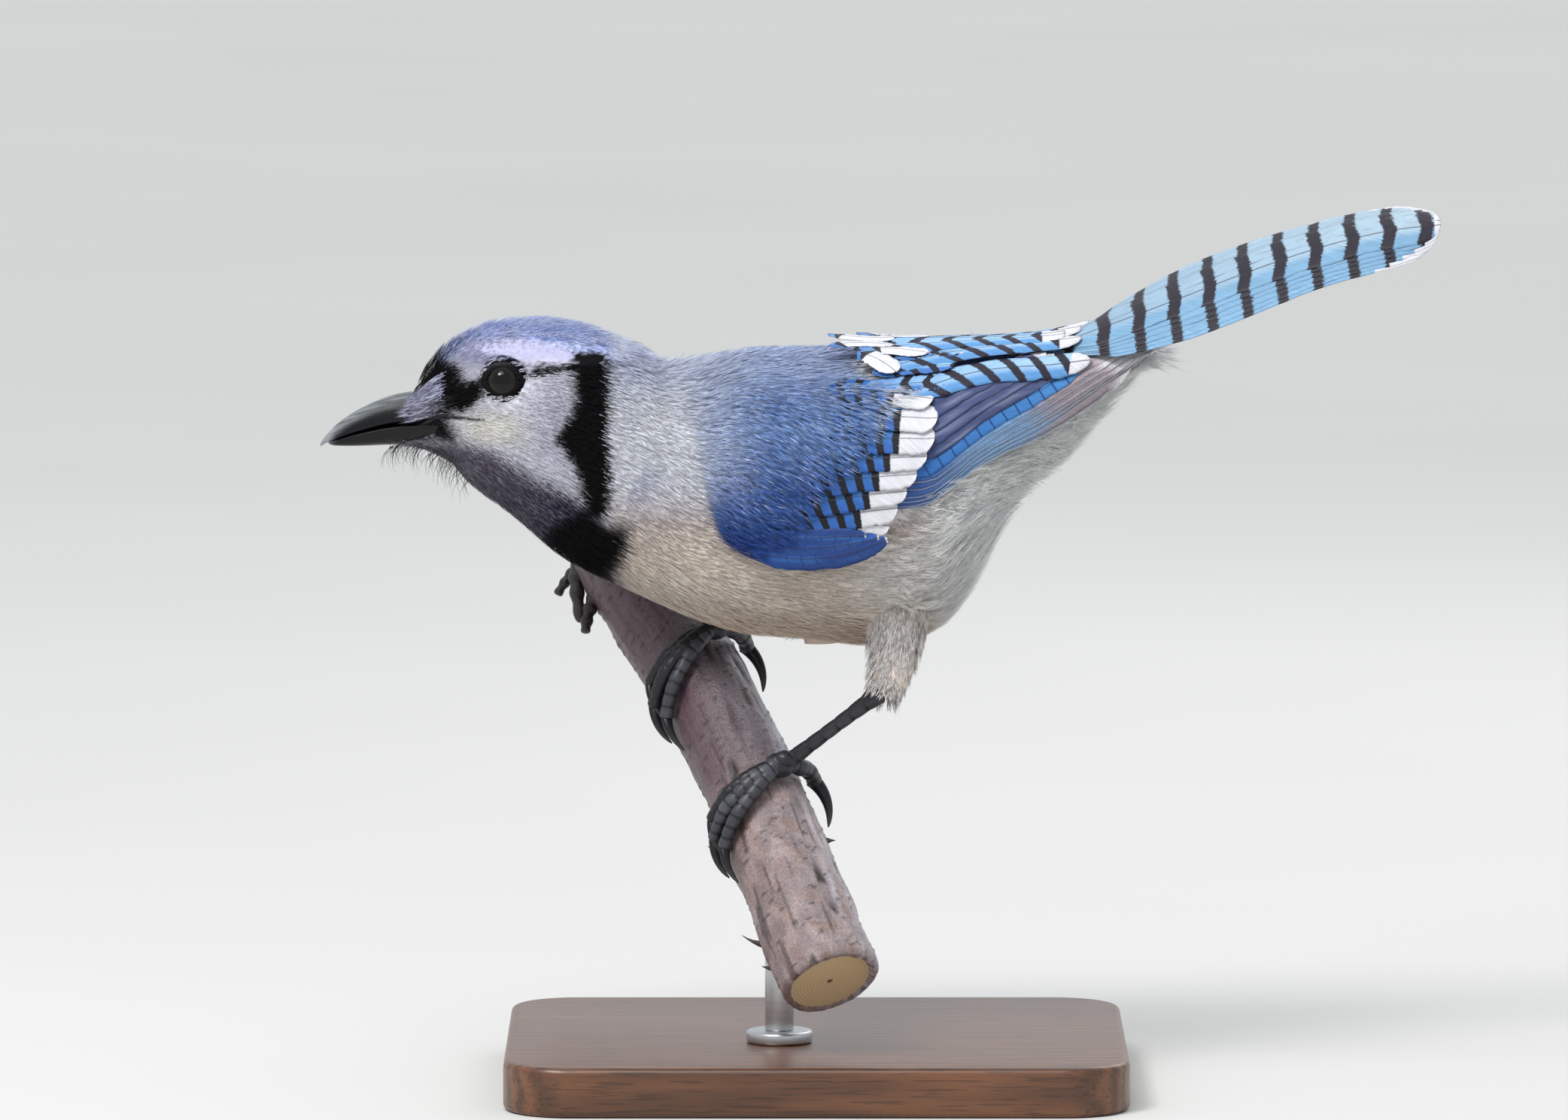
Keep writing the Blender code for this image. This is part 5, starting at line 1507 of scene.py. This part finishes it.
def eye_frame(side):
    x, y, z = EYE_PLACE
    centre = np.array([x, side * y, z])
    guess = np.array([[x, side * 15.6, z]]) * MM
    px, angle = body_place(guess)
    # The eye looks out halfway between the cheek's own direction and straight sideways.
    return centre, unit(normal_at(coat_surface, px, angle)[0] + np.array([0, side, 0]))


def add_eyes(rim_material):
    """Dark glossy eyes, each in a ring of bare black skin that narrows to a corner before and behind."""
    material, tree, shader = new_material("eye_cornea", {
        "Roughness": 0.03, "IOR": 1.38, "Specular IOR Level": 0.5,
    })
    iris = node(tree, "ShaderNodeAttribute", {"attribute_name": "Tone"})
    tree.links.new(iris.outputs["Color"], shader.inputs["Base Color"])
    for name, side in (("left", -1), ("right", 1)):
        centre, out = eye_frame(side)
        bpy.ops.object.select_all(action="DESELECT")
        bpy.ops.mesh.primitive_uv_sphere_add(segments=64, ring_count=40, radius=EYE_RADIUS * MM)
        eye = bpy.context.object
        eye.name = f"eye_{name}_ball"
        # The cornea bulges a little from the ball.
        x, y, z = places_of(eye).T
        group = eye.vertex_groups.new(name="cornea")
        for index, weight in enumerate(smooth(3.2, 1.2, np.hypot(x, y)) * (z > 0)):
            group.add([index], float(weight), "REPLACE")
        finished(eye, "DISPLACE", vertex_group="cornea", strength=0.3 * MM, mid_level=0.0)
        eye.vertex_groups.clear()
        turn =Vector(out).to_track_quat("Z", "Y").to_matrix().to_4x4()
        eye.data.transform(Matrix.Translation(Vector(centre) * MM) @ turn)
        eye.data.shade_smooth()
        points = np.array([v.co for v in eye.data.vertices]) / MM - centre
        off_axis = np.linalg.norm(points - (points @ out)[:, None] * out, axis=1)
        pupil = smooth(2.3, 2.6, off_axis)
        set_colour(eye.data, "Tone", linear("#030303") + (linear("#120b08") - linear("#030303")) * pupil[:, None])
        eye.data.materials.append(material)
        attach(eye, "root")
        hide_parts(f"eye_{name}")

        ahead = unit(np.array([-1.0, 0, 0]) - out * -out[0])
        bpy.ops.object.select_all(action="DESELECT")
        bpy.ops.mesh.primitive_torus_add(
            major_segments=96, minor_segments=14, major_radius=LID_TALL * MM, minor_radius=LID_THICKNESS * MM
        )
        lid = bpy.context.object
        bpy.ops.object.mode_set(mode="EDIT")
        bpy.ops.mesh.select_mode(type="VERT")
        bpy.ops.mesh.select_all(action="SELECT")
        bpy.ops.transform.resize(value=(LID_WIDE / LID_TALL, 1, 0.8))
        choose(lid, lambda place: abs(place[0]) > 0.93 * LID_WIDE)
        bpy.ops.transform.resize(value=(1.08, 0.8, 1))
        choose(lid, lambda place: math.hypot(place[0] * LID_TALL / LID_WIDE, place[1]) > LID_TALL + 0.15)
        bpy.ops.transform.resize(value=(LID_FLARE, LID_FLARE, 1), center_override=(0, 0, 0))
        bpy.ops.transform.translate(value=(0, 0, -LID_SET_BACK * MM))
        bpy.ops.object.mode_set(mode="OBJECT")
        folds = bpy.data.textures.new("folds", "CLOUDS")
        folds.noise_scale = 0.9 * MM
        finished(lid, "DISPLACE", texture=folds, strength=0.22 * MM, mid_level=0.5)
        across = np.cross(out, ahead)
        turned = Matrix(np.stack([ahead, across, out], axis=1).tolist()).to_4x4()
        lid.data.transform(Matrix.Translation(Vector(centre + out * LID_DEPTH) * MM) @ turned)
        toned(lid, linear("#060608"))
        joined([lid], f"eyelid_{name}", rim_material)


def bristles(name, roots, ends, sag, radius, colour, material, slot):
    """Fine bent bristles from roots to ends, each a three-sided bar that thins to nothing."""
    heap = Heap()
    for root, end, bend in zip(roots, ends, sag):
        t = np.linspace(0, 1, 7)[:, None]
        path = root + (end - root) * t + bend * (4 * t * (1 - t))
        up = unit(np.cross(end - root, [0.3, 1.0, 0.2]))
        points, faces = tube(path, radius * (1 - 0.85 * t[:, 0]), 4, up)
        heap.add(points, faces, colour * (1 + 0.2 * RNG.normal()))
    return heap.make(name, material, slot)


def add_bristles(material):
    roots, ends, sags = [], [], []
    for _ in range(140):
        x = RNG.uniform(-103.0, -84.0)
        angle = math.radians(-90 + RNG.uniform(-48, 48))
        root = coat_surface(np.array([x]), np.array([angle]), np.array([-0.6]))[0] / MM
        lean = RNG.uniform(-3.5, 1.5)
        out = np.array([0, math.copysign(RNG.uniform(0, 1.6), math.cos(angle)), 0])
        end = root + np.array([lean, 0, -RNG.uniform(3.0, 7.0)]) + out
        roots.append(root)
        ends.append(end)
        sags.append(np.array([-0.9, 0, 0.2]))
    for _ in range(60):
        side = RNG.choice([-1, 1])
        x = RNG.uniform(-93.0, -86.0)
        angle = math.radians(RNG.uniform(0, 16))
        angle = angle if side > 0 else math.pi - angle
        root = coat_surface(np.array([x]), np.array([angle]), np.array([0.0]))[0] / MM
        end = root + np.array([-RNG.uniform(4.0, 8.5), -side * RNG.uniform(0.8, 2.2), -RNG.uniform(1.5, 4.2)])
        roots.append(root)
        ends.append(end)
        sags.append(np.array([0, side * 1.3, 0.5]))
    bristles("bristles_face", roots, ends, sags, 0.07, linear("#241f24"), material, "face_feathers")
    strays = (
        ((38.2, -6, 181.0), (25.5, -7, 196.0)), ((2.5, -8, 179.0), (4.5, -8, 183.0)), ((-35, -4, 175), (-33, -4, 179)),
    )
    roots = [np.array(a, float) for a, _ in strays]
    ends = [np.array(b, float) for _, b in strays]
    bristles("stray_plumes", roots, ends, [np.array([2.0, 0, 0.8])] * 3, 0.12, linear("#c9c9cc"), material, "neck_feathers")


def limb_surface(points, radii):
    """The surface of a thigh: place along it from 0 to its length in mm, angle round it, height."""
    path, sizes = along(points, 60, radii)
    run = np.concatenate([[0], np.cumsum(np.linalg.norm(np.diff(path, axis=0), axis=1))])
    heading, side, top = frames(path, np.array([0.0, -1.0, 0.1]))

    def surface(u, v, grow):
        def at(values):
            return np.stack([np.interp(u, run, values[:, k]) for k in range(3)], axis=-1)

        size = np.interp(u, run, sizes) + grow
        over = np.maximum(u - run[-1], 0)[..., None] * heading[-1]
        ring = np.cos(v)[..., None] * at(side) + np.sin(v)[..., None] * at(top)
        return (at(path) + over + ring * size[..., None]) * MM

    return surface, run[-1]


def add_thighs(material):
    for name, points in THIGHS.items():
        surface, length = limb_surface(points, THIGH_RADII)
        us, vs = [], []
        for row, u in enumerate(np.arange(0.0, length, 1.5)):
            count = round(2 * math.pi * np.interp(u, (0, length), (THIGH_RADII[0], THIGH_RADII[-1])) / 1.7)
            vs.append((np.arange(count) + 0.5 * (row % 2)) / count * 2 * math.pi)
            us.append(np.full(count, u))
        u, v = np.concatenate(us), np.concatenate(vs)
        u, v = u + RNG.normal(0, 0.3, u.shape), v + RNG.normal(0, 0.06, v.shape)
        ones = np.ones(u.shape)
        long = np.interp(u, (0, length), (6.5, 3.5)) * (1 + 0.1 * RNG.normal(0, 1, u.shape))
        stands = RNG.uniform(0.2, 1.3, u.shape)
        shape = {
            "each": (long, long * 0.34, RNG.normal(0, 0.12, u.shape), -0.9 * ones, stands, 0.075 * ones, 1.4 * ones),
            "barbs": 34,
        }

        def paint(u, v):
            tones = blend(np.ones(u.shape + (3,)) * linear("#f3e9e0"), linear("#efe9e6"), smooth(4, 16, u))
            return blend(tones, linear("#77727a"), 0.65 * (RNG.random(u.shape) < 0.22))

        def unwrap(u, v):
            return 0.02 + 0.95 * u / (length + 8), 0.02 + 0.95 * (v % (2 * math.pi)) / (2 * math.pi)

        piece = tufts(f"coat_thigh_{name}", surface, u, v, shape, material, paint, unwrap)
        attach(piece, "root")


def add_fluff(material):
    """Loose narrow plumes along the rear of the belly and vent, whose tips stand clear of the rest."""
    count = 800
    u = RNG.uniform(16, 62, count)
    rise = np.radians(RNG.uniform(-60, 20, count))
    v = np.where(RNG.random(count) < 0.5, rise, math.pi - rise)
    keep = left_height(u, v) < wing_edge_at(u)
    u, v = u[keep], v[keep]
    ones = np.ones(u.shape)
    long, wide = RNG.uniform(4, 7, u.shape), RNG.uniform(0.8, 1.2, u.shape)
    stands, lie = RNG.uniform(1.5, 4.5, u.shape), RNG.normal(0, 0.3, u.shape)
    shape = {"each": (long, wide, lie, -0.6 * ones, stands, 0.06 * ones, 1.4 * ones), "barbs": 14}
    piece = tufts("coat_fluff", coat_surface, u, v, shape, material, plumage, coat_unwrap)
    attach(piece, "root")


def add_nasal_tufts(material):
    """Streaky tufts that lie forward from the forehead over the base of the bill."""
    count = 150
    u = RNG.uniform(-94.5, -88.8, count)
    v = np.radians(RNG.uniform(4, 38, count))
    v = np.where(RNG.random(count) < 0.5, v, math.pi - v)
    long = RNG.uniform(6.5, 10.5, count)
    lie = math.pi + np.where(np.cos(v) < 0, -1, 1) * RNG.normal(-0.12, 0.10, count)
    ones = np.ones(count)
    shape = {"each": (long, 1.6 * ones, lie, -0.3 * ones, 0.7 * ones, 0.07 * ones, 1.0 * ones), "barbs": 26}

    def paint(u, v):
        streak = smooth(0.45, 0.9, waves(u * 0.5, np.degrees(v) * 0.5, 6, 44))
        tones = np.ones(u.shape + (3,)) * linear("#cccde6")
        tones = blend(tones, linear("#5b5f8c"), 0.8 * streak)
        tones = blend(tones, linear("#352c48"), 0.8 * (RNG.random(u.shape) < 0.35))
        return blend(tones, linear("#15151c"), smooth(-92.5, -88.5, u))

    piece = tufts("coat_nasal", coat_surface, u, v, shape, material, paint, coat_unwrap)
    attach(piece, "root")


# Outgrowths of the bark: place along the branch, angle round it, length, width, lean along the branch.
THORNS = (
    (0.68, 131, 4.2, 1.2, 7.0), (0.86, 131, 4.0, 1.2, 5.5), (0.91, 128, 2.0, 1.3, 2.0), (0.72, -58, 2.0, 1.4, -1.0),
)
STUBS = ((0.05, 131, 5.0, 2.2, -13.0), (0.12, 128, 5.5, 2.0, -7.0), (0.03, 140, 7.0, 1.6, -3.0))


BARK_RINGS = 56
BARK_SIDES = 28
BARK_RELIEF = 2.2
BARK_DEEPEST = 1.45


def branch_bark():
    """The bark while it is still straight: cracks, plates and breathing pores, coloured with them."""
    s = np.concatenate([[0, 0.35], np.linspace(1.2, PERCH_LENGTH - 1.2, BARK_RINGS), [PERCH_LENGTH - 0.35, PERCH_LENGTH]])
    sizes = np.interp(s / PERCH_LENGTH, np.linspace(0, 1, len(PERCH_SIZES)), PERCH_SIZES) - BARK_DEEPEST
    bar = drawn_bar(list(zip(s, sizes)), BARK_SIDES)
    subdivided(bar, 2)
    x, y, z = places_of(bar).T

    def around(size, seed, stretch=1.0):
        rng = np.random.default_rng(seed)
        total = 0
        for _ in range(7):
            k = rng.normal(0, 1, 3)
            k = k / np.linalg.norm(k) * 2 * math.pi / size * rng.uniform(0.6, 1.6)
            total = total + np.sin(k[0] * x / stretch + k[1] * y + k[2] * z + rng.uniform(0, 2 * math.pi))
        return total / 3.5

    swell = 0.35 * around(26, 51) + 0.22 * around(9, 52, 2.0) + 0.10 * around(3.5, 53, 2.5)
    cracks = smooth(0.55, 0.95, around(5.0, 54, 7.0)) * smooth(-0.1, 0.5, around(22, 55))
    pores = smooth(0.80, 1.15, around(2.6, 56, 0.7) + 0.3 * around(7, 57))
    ledge = 0.28 * smooth(0.10, 0.18, around(13, 58, 1.6))
    inside_end = np.hypot(y, z) < np.interp(x, s, sizes) * 0.95
    relief = np.clip(swell + ledge - 0.75 * cracks + 0.22 * pores, -BARK_DEEPEST, 0.75) + BARK_DEEPEST
    relief = np.where(inside_end, 0.0, relief)
    group = bar.vertex_groups.new(name="relief")
    for index, weight in enumerate(relief / BARK_RELIEF):
        group.add([index], float(weight), "REPLACE")
    upper, lower_end = z / sizes.max(), smooth(0.55, 0.70, x / PERCH_LENGTH)
    colour = np.ones((len(x), 3)) * linear("#6a6268")
    # Towards its underside the bark is painted a darker purple-brown: painted shade under the branch.
    colour = blend(colour, linear("#5a4248"), 0.8 * smooth(0.1, -0.6, upper) + 0 * x)
    # The top of the branch is painted a pale lavender-grey: a painted highlight, the sheen of light from above along
    # the bark.
    colour = blend(colour, linear("#b4b2c2"), 0.85 * smooth(0.25, 0.85, upper + 0.25 * around(3, 62, 13.0)))
    colour = blend(colour, linear("#4a3a40"), 0.6 * smooth(0.1, 0.7, around(2.6, 61, 13.0)))
    colour = blend(colour, linear("#ab9894"), (0.35 + 0.3 * smooth(-0.4, 0.9, around(3.0, 65, 2.5))) * lower_end)
    colour = blend(colour, linear("#8a6650"), 0.35 * smooth(0.2, 0.9, around(2.4, 63, 2.5)) * lower_end)
    colour = blend(colour, linear("#3a2a2a"), 0.7 * smooth(0.6, 0.95, around(2.2, 64, 12.0)))
    colour = blend(colour, linear("#171113"), np.maximum(0.9 * cracks, 0.7 * pores))
    toned(bar, colour * (1 + 0.10 * around(1.4, 66))[:, None])
    finished(bar, "DISPLACE", vertex_group="relief", strength=BARK_RELIEF * MM, mid_level=0.0)
    bar.vertex_groups.clear()
    return bent(bar, along(PERCH_LINE, 200), np.array([0.0, 0.0, 1.0]))


def outgrowth(share, angle, length, width, lean, shape, colour):
    """A thorn or twig stub that grows out of the bark and leans along it."""
    centre, direction, top, front, radius = perch_frame(share)
    turned = math.radians(angle)
    out = top * math.cos(turned) + front * math.sin(turned)
    t = np.linspace(0, 1, 16)
    path = centre + out * (radius - 1.2) + np.outer(t, out) * (length + 1.2) + np.outer(t**1.7, direction) * lean
    run = np.concatenate([[0], np.cumsum(np.linalg.norm(np.diff(path, axis=0), axis=1))])
    bar = drawn_bar(list(zip(run, width * shape(t))), 14)
    subdivided(bar, 1)
    points = places_of(bar)
    streaks = waves(points[:, 0], points[:, 1] * 6, 3, 77)
    toned(bar, linear(colour) * (1 + 0.35 * streaks)[:, None])
    return bent(bar, path, direction)


def sawn_end(index, outward):
    """A cut face of pale wood: a disc inset ring by ring, with its growth rings and a dark pith."""
    radius = PERCH_SIZES[index] - BARK_DEEPEST + 0.3
    bpy.ops.object.select_all(action="DESELECT")
    bpy.ops.mesh.primitive_cylinder_add(vertices=96, radius=radius * MM, depth=0.8 * MM)
    disc = bpy.context.object
    bpy.ops.object.mode_set(mode="EDIT")
    bpy.ops.mesh.select_mode(type="VERT")
    choose(disc, lambda place: place[2] > 0)
    bpy.ops.mesh.select_mode(type="FACE")
    for _ in range(60):
        bpy.ops.mesh.inset(thickness=radius / 61 * MM)
    bpy.ops.object.mode_set(mode="OBJECT")
    x, y, z = places_of(disc).T
    steps, turn = np.hypot(x, y) / radius, np.arctan2(y, x)
    year = 0.5 + 0.5 * np.sin(steps * 85 + 1.2 * np.sin(turn * 2 + 0.7))
    tone = blend(np.ones((len(x), 3)) * linear("#cbb48f"), linear("#a98a5e"), year * 0.5)
    tone = blend(tone, linear("#4d3423"), np.maximum(smooth(0.93, 1.0, steps), smooth(0.09, 0.03, steps)))
    toned(disc, tone)
    heading = unit(PERCH_PATH[min(index + 2, 400)] - PERCH_PATH[max(index - 2, 0)]) * outward
    turned = Vector(heading).to_track_quat("Z", "Y").to_matrix().to_4x4()
    disc.data.transform(Matrix.Translation(Vector(PERCH_PATH[index] - heading * 0.2) * MM) @ turned)
    return disc


def add_perch(bark):
    """The branch: weathered bark with thorns and broken twigs, sawn off at both ends."""
    parts = [branch_bark()]
    for share, angle, length, width, lean in THORNS:
        parts.append(outgrowth(
            share, angle, length, width, lean, lambda t: (1 - t) ** 1.3 * (1 + 0.8 * np.exp(-t * 9)) + 0.06, "#3a2a28"
        ))
    for share, angle, length, width, lean in STUBS:
        parts.append(outgrowth(
            share, angle, length, width, lean,
            lambda t: (1 + 0.18 * np.sin(t * 21 + share * 40) + 0.6 * np.exp(-t * 8)) * (1 - 0.35 * t), "#2c2423",
        ))
    joined(parts, "perch_bark", bark, ("perch",))
    wood, tree, shader = new_material("sawn_wood", {"Roughness": 0.75})
    tone = node(tree, "ShaderNodeAttribute", {"attribute_name": "Tone"})
    tree.links.new(tone.outputs["Color"], shader.inputs["Base Color"])
    joined([sawn_end(0, -1), sawn_end(400, 1)], "perch_sawn_ends", wood)


def bevelled(obj, width, segments):
    finished(
        obj, "BEVEL", width=width * MM, segments=segments, limit_method="ANGLE", angle_limit=math.radians(40)
    )


def settle(obj, name, material, replaces):
    """Applies a new piece's place, names it and ties it to the body."""
    bpy.ops.object.select_all(action="DESELECT")
    obj.select_set(True)
    bpy.context.view_layer.objects.active = obj
    bpy.ops.object.transform_apply(location=True, rotation=True, scale=True)
    bpy.ops.object.shade_smooth_by_angle(angle=math.radians(35))
    obj.name = name
    obj.data.materials.append(material)
    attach(obj, "root")
    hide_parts(*replaces)


def walnut():
    """Oiled walnut: long dark grain lines along X, about 2 mm apart, under a satin film."""
    material, tree, shader = new_material("oiled_walnut", {"Roughness": 0.38, "Coat Weight": 0.25, "Coat Roughness": 0.2})
    place = node(tree, "ShaderNodeTexCoord")
    stretched = node(tree, "ShaderNodeMapping", None, {"Vector": place.outputs["Object"], "Scale": (6.0, 60.0, 60.0)})
    bend = node(tree, "ShaderNodeTexNoise", None, {"Vector": stretched.outputs["Vector"], "Scale": 1.2, "Detail": 3.0, "Distortion": 0.6})
    rings = node(tree, "ShaderNodeTexWave", {"wave_type": "BANDS", "bands_direction": "Y"}, {
        "Vector": stretched.outputs["Vector"], "Scale": 1.3, "Distortion": 6.0, "Detail": 3.0, "Detail Scale": 1.4,
    })
    pores = node(tree, "ShaderNodeMapping", None, {"Vector": place.outputs["Object"], "Scale": (90.0, 1400.0, 1400.0)})
    fine = node(tree, "ShaderNodeTexNoise", None, {"Vector": pores.outputs["Vector"], "Scale": 1.0, "Detail": 2.0})
    blend_rings = node(tree, "ShaderNodeMix", {"data_type": "FLOAT"}, {0: 0.45, 2: rings.outputs["Fac"], 3: bend.outputs["Fac"]})
    colour = node(tree, "ShaderNodeValToRGB", None, {"Fac": blend_rings.outputs[0]})
    colour.color_ramp.elements[0].color = (*linear("#3a2114"), 1)
    colour.color_ramp.elements[1].color = (*linear("#7a4d2e"), 1)
    dots = node(tree, "ShaderNodeMapRange", None, {"Value": fine.outputs["Fac"], "From Min": 0.36, "From Max": 0.46, "To Min": 0.55, "To Max": 1.0})
    final = node(tree, "ShaderNodeMix", {"data_type": "RGBA", "blend_type": "MULTIPLY"}, {0: 1.0, 6: colour.outputs["Color"], 7: dots.outputs["Result"]})
    tree.links.new(final.outputs[2], shader.inputs["Base Color"])
    bumped = node(tree, "ShaderNodeBump", None, {"Height": fine.outputs["Fac"], "Strength": 0.25, "Distance": 0.0001})
    tree.links.new(bumped.outputs["Normal"], shader.inputs["Normal"])
    return material


def brushed_steel():
    """Stainless steel turned on a lathe: fine rings round the rod, some 0.3 mm apart."""
    material, tree, shader = new_material("turned_stainless_steel", {"Metallic": 1.0, "Base Color": (*linear("#c3c4c6"), 1.0), "Roughness": 0.3})
    place = node(tree, "ShaderNodeTexCoord")
    stretched = node(tree, "ShaderNodeMapping", None, {"Vector": place.outputs["Object"], "Scale": (60.0, 60.0, 3300.0)})
    rings = node(tree, "ShaderNodeTexNoise", None, {"Vector": stretched.outputs["Vector"], "Scale": 1.0, "Detail": 2.0})
    rough = node(tree, "ShaderNodeMapRange", None, {"Value": rings.outputs["Fac"], "To Min": 0.2, "To Max": 0.42})
    tree.links.new(rough.outputs["Result"], shader.inputs["Roughness"])
    bumped = node(tree, "ShaderNodeBump", None, {"Height": rings.outputs["Fac"], "Strength": 0.15, "Distance": 0.00005})
    tree.links.new(bumped.outputs["Normal"], shader.inputs["Normal"])
    return material


def add_stand():
    wood, steel = walnut(), brushed_steel()
    low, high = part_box("stand_base")
    bpy.ops.object.select_all(action="DESELECT")
    bpy.ops.mesh.primitive_cube_add(size=1.0, location=[(a + b) / 2 for a, b in zip(low, high)])
    base = bpy.context.object
    base.scale = [b - a for a, b in zip(low, high)]
    bpy.ops.object.transform_apply(location=False, rotation=False, scale=True)
    base.data.attributes.new("bevel_weight_edge", "FLOAT", "EDGE")
    upright = [abs(base.data.vertices[e.vertices[0]].co.z - base.data.vertices[e.vertices[1]].co.z) > 0.005 for e in base.data.edges]
    base.data.attributes["bevel_weight_edge"].data.foreach_set("value", [float(u) for u in upright])
    corner = base.modifiers.new("corners", "BEVEL")
    corner.limit_method = "WEIGHT"
    corner.width = 16.0 * MM
    corner.segments = 18
    bpy.ops.object.modifier_apply(modifier="corners")
    bevelled(base, 1.6, 5)
    settle(base, "stand_base_walnut", wood, ("stand_base",))
    for node_name, name, sink, edge in (("stand_collar", "stand_collar_turned", 0.3, 0.7), ("stand_rod", "stand_rod_turned", 0.3, 0.3)):
        low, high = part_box(node_name)
        bottom = low[2] - sink * MM
        top = high[2] + (4.0 * MM if node_name == "stand_rod" else 0.0)
        bpy.ops.object.select_all(action="DESELECT")
        bpy.ops.mesh.primitive_cylinder_add(
            vertices=72, radius=(high[0] - low[0]) / 2, depth=top - bottom,
            location=((low[0] + high[0]) / 2, (low[1] + high[1]) / 2, (top + bottom) / 2),
        )
        piece = bpy.context.object
        bevelled(piece, edge, 3)
        settle(piece, name, steel, (node_name,))


def main():
    stage()
    feather = soft_feather_material()
    make_skin(feather)
    for name, values in COAT_STRETCHES.items():
        piece = coat_piece(name, values, feather)
        if name == "mantle":
            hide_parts("wing_left_shoulder", "wing_right_shoulder")
    vanes = vane_material()
    for name, side in (("left", -1), ("right", 1)):
        add_wing(name, side, vanes)
    add_tail(vanes)
    scales = toned_material("leg_scutes", {"Roughness": 0.42, "Specular IOR Level": 0.45}, 900.0, 0.85, 1.15)
    horn = toned_material("bill_horn", {"Roughness": 0.3, "Specular IOR Level": 0.28}, 700.0, 0.85, 1.12, 0.12)
    bristle = toned_material("bristle_keratin", {"Roughness": 0.45}, 500.0, 0.9, 1.1)
    bark = toned_material("weathered_bark", {"Roughness": 0.38, "Specular IOR Level": 0.5}, 1600.0, 0.7, 1.25, 0.6, 0.0004)
    add_legs(scales, horn)
    add_bill(horn)
    add_eyes(toned_material("eyelid_skin", {"Roughness": 0.75, "Specular IOR Level": 0.15}, 1500.0, 0.85, 1.15))
    add_bristles(bristle)
    add_nasal_tufts(feather)
    add_thighs(feather)
    add_fluff(feather)
    add_perch(bark)
    add_stand()


main()
